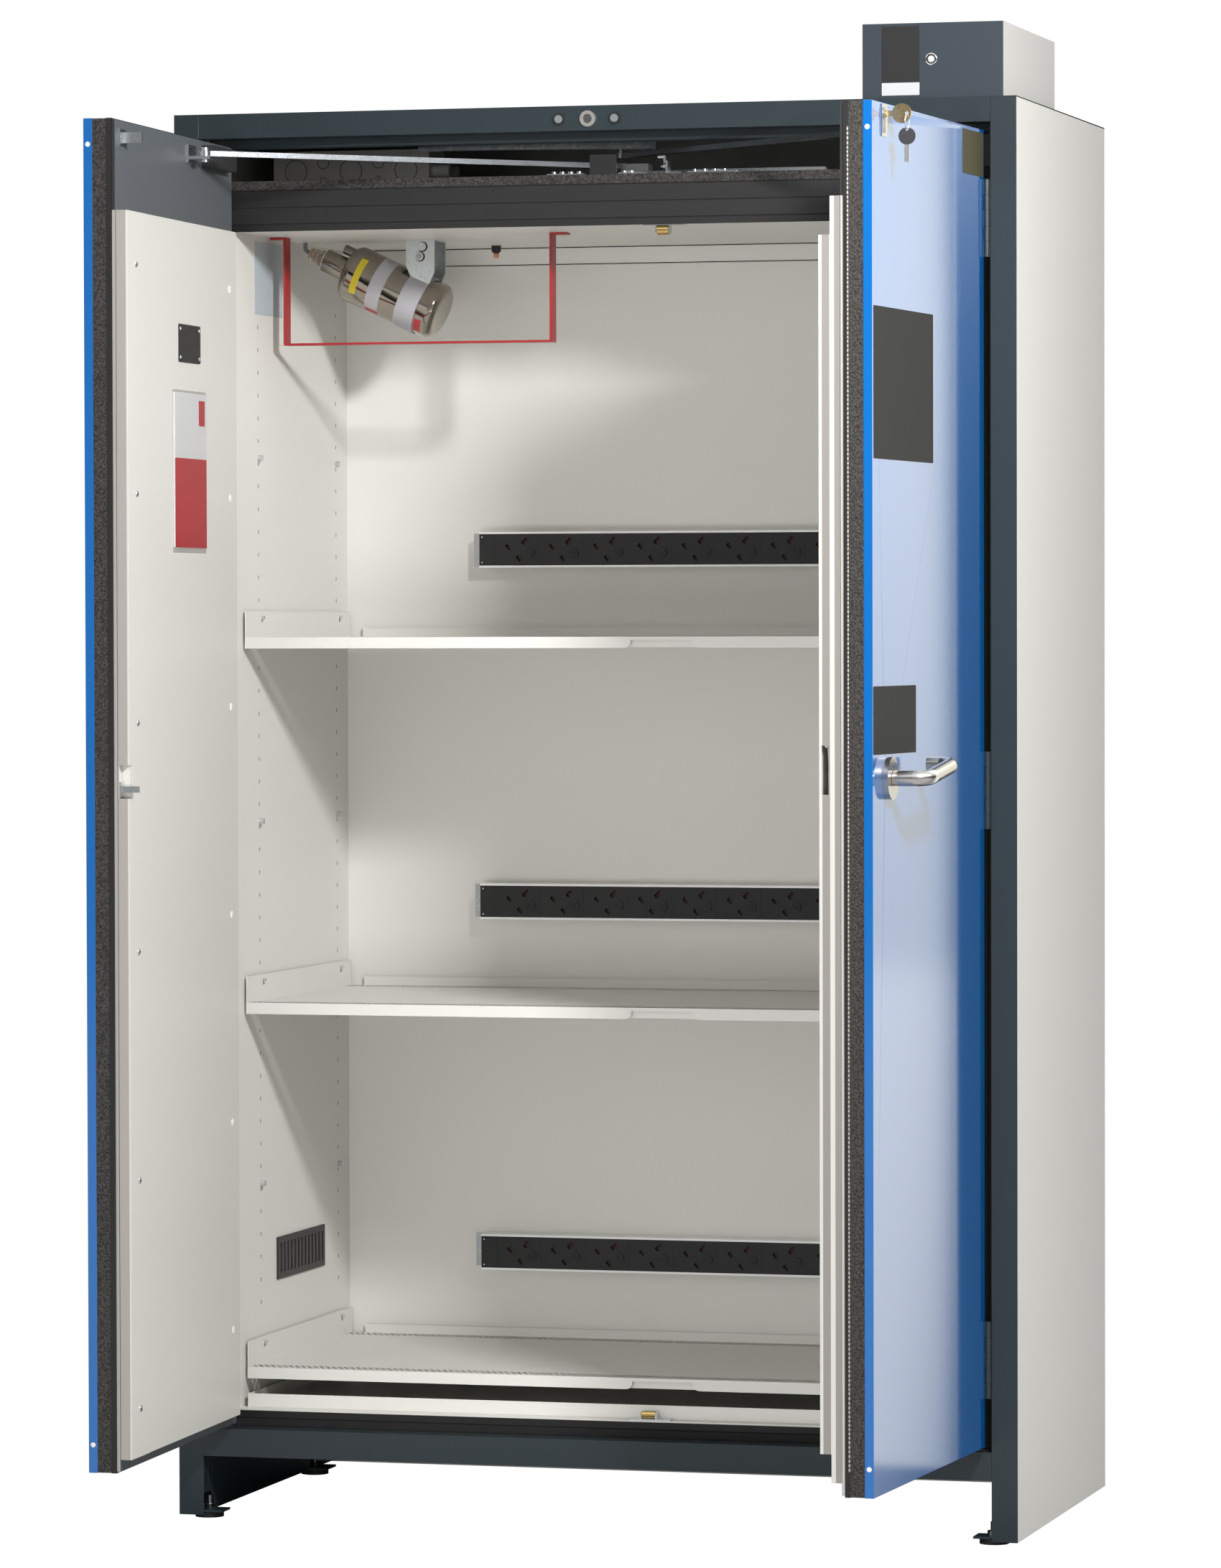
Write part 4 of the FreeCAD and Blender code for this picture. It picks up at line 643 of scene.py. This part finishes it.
CHROME = metal("chrome_plate", (0.82, 0.80, 0.77), 0.07, (60, 60, 60), 0.02, 0.03)
NICKEL = metal("nickel_plate", (0.66, 0.56, 0.46), 0.20, (400, 80, 80))
BAND_GREY = coated("strap_lining", (0.40, 0.39, 0.42), 0.5, 500, 0.1, 0.0002)
RED = coated("red_paint", (0.34, 0.014, 0.018), 0.34, 500, 0.15, 0.0003)
CABLE_GREY = coated("cable_sheath", (0.16, 0.17, 0.18), 0.45, 600, 0.1, 0.0002)
WHITE_PLASTIC = coated("white_plastic", (0.66, 0.65, 0.60), 0.38, 500, 0.08, 0.0003)
dress("extinguisher_canister", banded_can("banded_can"), NICKEL,
      pick=lambda at, way: 1 if on_can(at).x < CAN_NECK_X else 0)
dress("extinguisher_bracket", ZINC, BAND_GREY, pick=strap_part)
dress("extinguisher_cable", CABLE_GREY)
dress("guard_bar", RED)
ease_edges("guard_bar", 0.0004)
piece("gland_rings", [
    (ring(0.0106, 0.0155, 0.0381, 0.0396), CAN_AXIS, 0),
    (ring(0.0106, 0.0138, 0.0397, 0.0412), CAN_AXIS, 1),
    (plate(hexagon(0.0122), 0.0430, 0.0476), CAN_AXIS, 2),
    (plate(hexagon(0.0098), 0.0510, 0.0560), CAN_AXIS, 2),
    (turned(CABLE_COLLAR), CAN_AXIS, 2),
], (WHITE_PLASTIC, RUBBER, NICKEL), "carcass")
bolts = []
for x, z in BOLTS_XZ:
    at = wall((x, BOLTS_Y, z), TO_FRONT)
    # A thin ring of painted shade lies round each bolt on the bracket.
    shade_ring = at @ Matrix.Translation((0, 0, -SHADE_RING_BACK))
    bolts += [(plate(hexagon(BOLT_HEX_RADIUS), 0, 0.0026), at, 0),
              (turned(dome(BOLT_STUD_RADIUS, 0.0042)), at, 0),
              (ring(0.0058, 0.0072, 0.0001, 0.0003), shade_ring, 1)]
piece("bracket_bolts", bolts, (CHROME, RECESS_SHADE), "carcass")


# A thin bare plate on the left wall beside the extinguisher, and the plastic smoke sensor with its copper
# tip that hangs from the ceiling.
WALL_PLATE_AT = (-0.525, -0.108, 1.7335)
WALL_PLATE = (0.126, 0.103, 0.001)
SENSOR_AT = (-0.273, 0.180, 1.793)
SENSOR_BODY = [(0, 0), (0.0070, 0), (0.0070, 0.0080), (0.0040, 0.0110), (0, 0.0110)]
SENSOR_TIP = [(0, 0.0105), (0.0034, 0.0110), (0.0045, 0.0140), (0.0034, 0.0172), (0, 0.0185)]
LABEL_BLUE = coated("bare_plate", (0.44, 0.50, 0.54), 0.45, 500, 0.05, 0.0001)
COPPER = metal("copper_tip", (0.75, 0.36, 0.20), 0.2, (60, 60, 60))
piece("wall_plate", [(plate(rounded(*WALL_PLATE), 0.0, 0.0004), wall(WALL_PLATE_AT, (1, 0, 0)), 0)],
      (LABEL_BLUE,), "carcass")
drop = Matrix.Translation(SENSOR_AT) @ Matrix.Rotation(math.pi, 4, "X")
piece("ceiling_sensor", [(turned(SENSOR_BODY), drop, 0), (turned(SENSOR_TIP), drop, 1)],
      (BLACK_PLASTIC, COPPER), "carcass")


# Roof compartment: a light grey junction box with round knock-outs on its front, and the coupled stay
# mechanism of both doors: guide tracks, lever stand, domed bolts, a black cover and a dark zinc housing.
COVER_X, COVER_FRONT_Y = (-0.0105, 0.0285), -0.2445
HOUSING_X, HOUSING_Y = (0.0285, 0.0675), (-0.2405, -0.2155)
BOX_FRONT_Y = -0.020
# Each knock-out: x, z and radius.
KNOCK_OUTS = (
    (-0.512, 1.891, 0.017), (-0.430, 1.891, 0.017), (-0.348, 1.891, 0.017), (-0.471, 1.903, 0.009),
    (-0.389, 1.903, 0.009), (-0.471, 1.877, 0.006), (-0.389, 1.877, 0.006),
)


def stay_part(at, way):
    """Look of a face of the stay mechanism: 1 for the cover, 2 for the housing, 0 for all the rest."""
    if COVER_X[0] < at.x < COVER_X[1] and at.y < COVER_FRONT_Y:
        return 1
    return 2 if HOUSING_X[0] < at.x < HOUSING_X[1] and HOUSING_Y[0] < at.y < HOUSING_Y[1] else 0


DARK_ZINC = metal("dark_zinc", (0.26, 0.27, 0.28), 0.34, (220, 220, 220))
ROD_ZINC = metal("rod_zinc", (0.72, 0.76, 0.80), 0.20, (40, 600, 600))
BRASS = metal("brass_metal", (0.76, 0.54, 0.20), 0.22, (80, 700, 700))
BOX_PLASTIC = coated("box_plastic", (0.86, 0.84, 0.78), 0.5, 500, 0.08, 0.0003)
# Darker grey rims: painted shade that outlines each knock-out on the light box.
RIM_SHADE_GREY = coated("rim_painted_shade", (0.16, 0.155, 0.145), 0.5, 500, 0.08, 0.0003)
dress("junction_box", BOX_PLASTIC)
dress("stay_mechanism", ZINC, BLACK_PLASTIC, DARK_ZINC, pick=stay_part)
dress("hold_open_lever roller_brackets", ZINC)
dress("catch_roller_upper catch_roller_lower", BRASS)
dress("left_stay_rod right_stay_rod", ROD_ZINC)
rims = []
for x, z, radius in KNOCK_OUTS:
    rim = turned([(radius - 0.0012, 0), (radius - 0.0009, 0.0007), (radius - 0.0003, 0.0007), (radius, 0)])
    rims.append((rim, wall((x, BOX_FRONT_Y, z), TO_FRONT), 0))
piece("knock_out_rings", rims, (RIM_SHADE_GREY,), "carcass")


# Exhaust box: folded sheet, anthracite in front and light grey on its sides, with the fan in its rear
# spigot. A bare black plate and a pilot lamp sit on its front.
DUCT_PLATE_AT = (0.436, -0.300, 2.0035)
# Width, height and corner radius of the black plate and of the pale strip near its lower end.
DUCT_PLATE = (0.052, 0.093, 0.001)
DUCT_STRIP = (0.052, 0.017, 0.0008)
DUCT_STRIP_BELOW = 0.0380
PILOT_LAMP_AT = (0.478, -0.300, 2.005)
PILOT_RING = [(0.0066, 0), (0.0082, 0), (0.0082, 0.0010), (0.0074, 0.0016), (0.0066, 0.0012)]
PILOT_SEAT = [(0, 0.0002), (0.0066, 0.0002), (0.0066, 0.0008), (0.0052, 0.0010), (0, 0.0010)]
DUCT_GREY = coated("duct_side_paint", (0.56, 0.55, 0.53), 0.42, 700, 0.12, 0.0003)
DUCT_FRONT = coated("duct_front_paint", (0.027, 0.037, 0.047), 0.36, 420, 0.25, 0.0005)
PALE_STRIP = coated("pale_strip", (0.46, 0.47, 0.48), 0.4, 500, 0.1, 0.0002)
dress("exhaust_box", DUCT_FRONT, DUCT_GREY, pick=lambda at, way: 1 if abs(way.x) > 0.7 else 0)
dress("fan_impeller vent_grille", BLACK_PLASTIC)
front = wall(DUCT_PLATE_AT, TO_FRONT)
piece("duct_plate", [
    (plate(rounded(*DUCT_PLATE), 0.0, 0.0010), front, 0),
    (plate(rounded(*DUCT_STRIP), 0.0010, 0.0014), front @ Matrix.Translation((0, -DUCT_STRIP_BELOW, 0)), 1),
], (BLACK_PLASTIC, PALE_STRIP), "carcass")
lamp = wall(PILOT_LAMP_AT, TO_FRONT)
piece("duct_pilot_lamp", [
    (turned(PILOT_RING), lamp, 0),
    (turned(PILOT_SEAT), lamp, 1),
    (turned(dome(0.0046, 0.0012, 0.6)), lamp @ Matrix.Translation((0, 0, 0.0009)), 2),
], (CHROME, BLACK_PLASTIC, PALE_STRIP), "carcass")


# Fascia: two status lamps with pale lenses in black rings, and a zinc-plated reset button in a polished
# metal bezel between them.
LAMP_MIDDLES = (-0.041, 0.038)
LAMP_Z = 1.935
LENS_RADIUS = 0.0057
LENS_BACK_Y = -0.3094
BEZEL_HALF = 0.015


def lamp_part(at, way):
    """Look of a face of the lamps: 2 for the bezel in the middle, 0 inside a lens, 1 for its ring."""
    if abs(at.x) < BEZEL_HALF:
        return 2
    middle = LAMP_MIDDLES[0] if at.x < 0 else LAMP_MIDDLES[1]
    return 0 if math.hypot(at.x - middle, at.z - LAMP_Z) < LENS_RADIUS and at.y < LENS_BACK_Y else 1


LENS = coated("lamp_lens", (0.17, 0.18, 0.18), 0.12, 200, 0.05, 0.0001)
BEZEL = metal("button_metal", (0.93, 0.89, 0.83), 0.34, (60, 60, 60), 0.02, 0.03)
dress("fascia_lamps", LENS, BLACK_PLASTIC, BEZEL, pick=lamp_part)
dress("reset_button", DARK_ZINC)


# Doors: a blue sheet shell round a foam core, a rubber seal, a dark back plate and a light grey inner
# panel. Both stand open, so places on them are given on the closed leaf and turned about the pin.
PIN_X, PIN_Y = 0.5565, -0.311
LEAF_FROM_PIN = (0.003, 0.0035, 0)
DOOR_TURN = {-1: math.radians(-87.6), 1: math.radians(87.2)}
# The free edges of the door sheets are painted: pale with a highlight on each bend, and shade in the grooves
# between the bends, deeper on the right door than on the left.
FOLD_PALE_HIGHLIGHT = (0.50, 0.49, 0.46)
FOLD_DARK = (0.020, 0.021, 0.022)
FOLD_GROOVE_SHADE = {-1: (0.31, 0.29, 0.265), 1: (0.225, 0.207, 0.193)}
FOLDS_FROM, FOLDS_TO = 0.038, 0.073
# Depths in the leaf where the free edge changes, and whether it is a groove in painted shade there.
FOLD_STEPS = {
    -1: ((0.0388, True), (0.0555, True), (0.0562, False)),
    1: ((0.0450, True), (0.0508, True), (0.0514, False), (0.0571, False), (0.0576, True), (0.0672, True),
        (0.0678, False)),
}
PANEL_TOP = 1.787
BEAD_U, BEAD_T = 0.5494, 0.0322
BEAD_FROM_Z, BEAD_TO_Z = 0.165, 1.875
BEAD_PROUD, BEAD_HALF = 0.0009, 0.0011


def door_frame(side):
    """Frame of an open leaf: X along the leaf from the pin, Y into the leaf's depth, Z up."""
    turn = Matrix.Translation((side * PIN_X, PIN_Y, 0)) @ Matrix.Rotation(DOOR_TURN[side], 4, "Z")
    return turn @ Matrix.Diagonal((-side, 1, 1, 1)) @ Matrix.Translation(LEAF_FROM_PIN)


DOOR = {side: door_frame(side) for side in (-1, 1)}
LEAF_BACK = {side: DOOR[side].inverted() for side in (-1, 1)}


def door_wall(side, u, t, z, out):
    """Frame on a leaf at u from its hinge edge, t deep and z high, facing out in the leaf's axes."""
    return wall(DOOR[side] @ Vector((u, t, z)), DOOR[side].to_3x3() @ Vector(out))


def blue_paint(name):
    """Deep blue broken up by the orange peel, under a clear coat whose mirror images are a little soft."""
    item = coated(name, (0.0, 0.100, 0.34), 0.07, 620, 0.14, 0.0003)
    shader = item.node_tree.nodes["Principled BSDF"]
    shader.inputs["Coat Weight"].default_value = 1.0
    shader.inputs["Coat Roughness"].default_value = 0.10
    return item


def towards_front(at, way):
    """1 on the free edge of an open leaf, which faces -y."""
    return 1 if way.y < -0.7 else 0


def beaded_cord(name):
    """Braided edging: light and dark turns as a sine along z, bent by noise."""
    item = coated(name, (0.30, 0.28, 0.24), 0.6, 900, 0.3, 0.0003)
    tree = item.node_tree
    turns = add(tree, "TexWave", add(tree, "TexCoord").outputs["Object"], wave_type="BANDS",
                bands_direction="Z", Scale=55.0, Distortion=2.0).outputs["Fac"]
    feed(tree, tree.nodes["Principled BSDF"].inputs["Base Color"],
         blend(tree, "RGBA", turns, (0.04, 0.037, 0.034, 1), (0.42, 0.39, 0.34, 1)))
    return item


def folded_edge_light_and_shade(name, side):
    """Free edge of the back plate and the panel: a painted highlight where a bend stands proud and painted
    shade between the bends, darker on the right door, by the depth in the leaf, and dark above the panel's
    top."""
    item = coated(name, FOLD_PALE_HIGHLIGHT, 0.5, 900, 0.12, 0.0002)
    tree = item.node_tree
    in_leaf = add(tree, "Mapping", add(tree, "TexCoord").outputs["Object"], vector_type="TEXTURE",
                  Location=DOOR[side].to_translation(), Rotation=(0, 0, DOOR_TURN[side])).outputs[0]
    place = add(tree, "SeparateXYZ", in_leaf).outputs
    folds = add(tree, "ValToRGB", Fac=ramp(tree, place["Y"], (FOLDS_FROM, FOLDS_TO), (0, 1)))
    folds.color_ramp.interpolation = "EASE"
    stops = folds.color_ramp.elements
    for depth, groove in FOLD_STEPS[side]:
        stop = stops.new((depth - FOLDS_FROM) / (FOLDS_TO - FOLDS_FROM))
        stop.color = (*(FOLD_GROOVE_SHADE[side] if groove else FOLD_PALE_HIGHLIGHT), 1)
    stops[0].color = stops[-1].color = (*FOLD_PALE_HIGHLIGHT, 1)
    above = calc(tree, "GREATER_THAN", place["Z"], PANEL_TOP)
    feed(tree, tree.nodes["Principled BSDF"].inputs["Base Color"],
         blend(tree, "RGBA", above, folds.outputs["Color"], (*FOLD_DARK, 1)))
    return item


BLUE = blue_paint("door_blue_paint")
PLATE_GREY = coated("plate_paint", (0.100, 0.110, 0.120), 0.34, 500, 0.12, 0.0003)
PANEL_GREY = coated("panel_paint", (0.60, 0.59, 0.55), 0.42, 900, 0.12, 0.0002)
dress("left_door_skin right_door_skin", BLUE)
dress("left_door_core right_door_core", FOAM)
dress("left_door_seals right_door_seals", RUBBER)
for side, word in ((-1, "left"), (1, "right")):
    folded = folded_edge_light_and_shade(word + "_folded_edge_light_and_shade", side)
    dress(word + "_door_plate", PLATE_GREY, folded, pick=towards_front)
    dress(word + "_door_panel", PANEL_GREY, folded, pick=towards_front)
ease_edges("left_door_skin right_door_skin", 0.0008)
ease_edges("left_door_panel right_door_panel left_door_plate right_door_plate", 0.0005)
angle = np.linspace(-np.pi / 2, np.pi / 2, 7)
bead = plate(np.c_[BEAD_PROUD * np.cos(angle), BEAD_HALF * np.sin(angle)], BEAD_FROM_Z, BEAD_TO_Z)
piece("right_door_bead", [(bead, DOOR[1] @ Matrix.Translation((BEAD_U, BEAD_T, 0)), 0)],
      (beaded_cord("bead_cord"),), "right_door")


# Hinges, latch keepers and stay brackets of the doors: the hinges are painted with the frame, the keepers
# and brackets are zinc-plated steel, and the box that the left stay folds into is matt black.
KNUCKLE_RADIUS = 0.0048
LEAF_PLATE_U = 0.0005
STAY_BOX_U, STAY_BOX_T, STAY_BOX_Z = (0.030, 0.150), 0.0420, 1.86
PANEL_FACE_T = 0.057
TO_INSIDE, TO_FREE_EDGE = (0, 1, 0), (1, 0, 0)
# Where the highest screw of the cover strip and the highest cap of the panel sit on the left leaf.
COVER_SCREW = (0.507, 0.058, 1.718)
COVER_SCREW_PITCH = 0.3008
PANEL_CAP = (0.064, PANEL_FACE_T, 1.706)
PANEL_CAP_PITCH = 0.287
PER_COLUMN = 6
LATCH_POCKET_AT = (0.5312, 0.0500, 1.040)
LATCH_POCKET = (0.0115, 0.0438, 0.0003)
EDGE_CAPS_U, EDGE_CAPS_T, EDGE_CAPS_Z = 0.5495, 0.006, (1.873, 0.170)
EDGE_CAP = [(0, -0.001), (0.0033, -0.001), (0.0033, 0.00003), (0.0028, 0.00008), (0, 0.00008)]


def fitting_part(side):
    """Look of a face of the fittings: 1 for the hinge, 2 for the left stay's box, 0 for all the rest."""
    def pick(at, way):
        local = LEAF_BACK[side] @ Vector(at)
        if math.hypot(abs(at.x) - PIN_X, at.y - PIN_Y) < KNUCKLE_RADIUS or local.x < LEAF_PLATE_U:
            return 1
        in_box = STAY_BOX_U[0] < local.x < STAY_BOX_U[1] and local.y > STAY_BOX_T and local.z > STAY_BOX_Z
        return 2 if side < 0 and in_box else 0
    return pick


def cross_recess(size, low, high):
    """A plus sign of two bars: the end of one arm and the corner beside it, turned by quarters of a turn."""
    arm, half = size / 2, size / 6
    corner = np.array((arm - half * 1j, arm + half * 1j, half + half * 1j))
    points = (QUARTERS[:, None] * corner).ravel()
    return plate(np.c_[points.real, points.imag], low, high)


def screw_head(place, radius, tall):
    """A domed head of look 0 with a cross recess of look 1."""
    recess = cross_recess(radius * 0.9, tall - 0.0001, tall + 0.00008)
    return [(turned(dome(radius, tall)), place, 0), (recess, place, 1)]


MATT_BLACK = coated("matt_black", (0.018, 0.018, 0.019), 0.62, 500, 0.2, 0.0003)
dress("hinge_leaves_frame", ANTHRACITE)
dress("left_door_fittings", ZINC, ANTHRACITE, MATT_BLACK, pick=fitting_part(-1))
dress("right_door_fittings", ZINC, ANTHRACITE, MATT_BLACK, pick=fitting_part(1))
heads, caps = [], []
for number in range(PER_COLUMN):
    u, t, z = COVER_SCREW
    heads += screw_head(door_wall(-1, u, t, z - COVER_SCREW_PITCH * number, TO_INSIDE), 0.0044, 0.0021)
    u, t, z = PANEL_CAP
    place = door_wall(-1, u, t, z - PANEL_CAP_PITCH * number, TO_INSIDE)
    caps.append((turned(dome(0.0060, 0.0022, 0.5)), place, 0))
# The cross recesses of the screws are painted recess shade.
piece("cover_strip_screws", heads, (ZINC, RECESS_SHADE), "left_door")
for side, body in ((-1, "left_door"), (1, "right_door")):
    ends = [(turned(EDGE_CAP), door_wall(side, EDGE_CAPS_U, EDGE_CAPS_T, z, TO_FREE_EDGE), 0)
            for z in EDGE_CAPS_Z]
    piece(body + "_edge_caps", ends, (WHITE_PLASTIC,), body)
piece("left_panel_caps", caps, (WHITE_PLASTIC,), "left_door")
pocket_back = door_wall(-1, *LATCH_POCKET_AT, TO_FREE_EDGE)
piece("left_latch_pocket", [(plate(rounded(*LATCH_POCKET), 0, 0.0005), pocket_back, 0)],
      (PANEL_GREY,), "left_door")


# Things fixed to the doors: a black plate on four rivets and a clear pocket with a blank booklet on the
# inside of the left one, and thin bare dark plates on the outside of the right one.
RIVET_PLATE_AT = (0.2605, PANEL_FACE_T, 1.6235)
RIVET_PLATE = (0.101, 0.051, 0.003)
RIVET_PLATE_THICK = 0.0012
RIVET_X, RIVET_Y = 0.044, 0.019
POCKET_AT = (0.264, PANEL_FACE_T, 1.453)
POCKET_FILM = (0.156, 0.218, 0.003)
# Booklet: width, height and corner radius of its paper and of the two red fields on its cover.
BOOKLET = (0.148, 0.208, 0.001)
LOWER_FIELD = (0.148, 0.120, 0.001)
UPPER_FIELD = (0.028, 0.034, 0.001)
# Each bare plate: its reach from the hinge edge, its reach in height, and the number of its look.
BARE_PLATES = (
    ((0.259, 0.543), (1.454, 1.648), 0),
    ((0.345, 0.546), (1.078, 1.165), 0),
    ((0.004, 0.109), (1.843, 1.902), 1),
)


def clear_film(name):
    """Thin clear plastic: it bends light hardly at all, but mirrors the studio."""
    item, _, shader = bare(name, (1, 1, 1), 0.05)
    shader.inputs["Transmission Weight"].default_value = 1.0
    shader.inputs["IOR"].default_value = 1.02
    shader.inputs["Specular IOR Level"].default_value = 1.0
    return item


rivet_plate = door_wall(-1, *RIVET_PLATE_AT, TO_INSIDE)
rivets = [(turned(dome(0.0026, 0.0014)), rivet_plate @ Matrix.Translation((x, y, RIVET_PLATE_THICK)), 1)
          for x in (-RIVET_X, RIVET_X) for y in (-RIVET_Y, RIVET_Y)]
piece("rivet_plate", [(plate(rounded(*RIVET_PLATE), 0, RIVET_PLATE_THICK), rivet_plate, 0)] + rivets,
      (MATT_BLACK, ZINC), "left_door")
BOOK_WHITE = coated("booklet_paper", (0.86, 0.86, 0.86), 0.6, 200, 0.05, 0.0002)
BOOK_RED = coated("booklet_cover", (0.55, 0.02, 0.03), 0.45, 200, 0.05, 0.0002)
pocket = door_wall(-1, *POCKET_AT, TO_INSIDE)
piece("blank_booklet", [
    (plate(rounded(*BOOKLET), 0.0003, 0.0030), pocket, 0),
    (plate(rounded(*LOWER_FIELD), 0.0030, 0.0032), pocket @ Matrix.Translation((0, -0.044, 0)), 1),
    (plate(rounded(*UPPER_FIELD), 0.0030, 0.0032), pocket @ Matrix.Translation((0.052, 0.078, 0)), 1),
], (BOOK_WHITE, BOOK_RED), "left_door")
piece("clear_pocket", [(plate(rounded(*POCKET_FILM), 0.0033, 0.0037), pocket, 0)],
      (clear_film("pocket_film"),), "left_door")
DARK_PLATE = coated("bare_sign_plate", (0.020, 0.020, 0.019), 0.62, 400, 0.1, 0.0002)
OLIVE_PLATE = coated("bare_corner_plate", (0.060, 0.054, 0.030), 0.62, 400, 0.1, 0.0002)
for look in (DARK_PLATE, OLIVE_PLATE):
    look.node_tree.nodes["Principled BSDF"].inputs["Specular IOR Level"].default_value = 0.12
signs = []
for (near, far), (low, high), kind in BARE_PLATES:
    at = door_wall(1, (near + far) / 2, 0, (low + high) / 2, TO_FRONT)
    signs.append((plate(rounded(far - near, high - low, 0.002), 0, 0.0004), at, kind))
piece("bare_signs", signs, (DARK_PLATE, OLIVE_PLATE), "right_door")


# Handle, lock and keys of the right door: satin steel rose and lever, a brass lock with its flat key, and
# the steel spare key with a black bow on its ring.
BOW_FROM_Z, BOW_TO_Z = 1.8525, 1.8735
STEEL = metal("satin_steel", (0.60, 0.58, 0.55), 0.22, (900, 60, 900))
KEY_BRASS = metal("key_brass", (0.62, 0.47, 0.25), 0.30, (300, 300, 300), 0.2)
KEY_STEEL = metal("key_nickel", (0.90, 0.90, 0.90), 0.32, (300, 300, 300), 0.3)
dress("door_escutcheons door_handle", STEEL)
dress("latch_hook", ZINC)
dress("lock_key", KEY_BRASS)
dress("spare_key", KEY_STEEL, MATT_BLACK, pick=lambda at, way: 1 if BOW_FROM_Z < at.z < BOW_TO_Z else 0)


# Levelling feet: black ribbed plastic pads on zinc-plated spindles, which screw into the base from below
# and let the cabinet stand upright on an uneven floor.
PAD_TALL = 0.0080
for corner in ("front_left", "rear_left", "front_right", "rear_right"):
    dress("levelling_foot_" + corner, BLACK_PLASTIC, ZINC, pick=lambda at, way: 0 if at.z < PAD_TALL else 1)
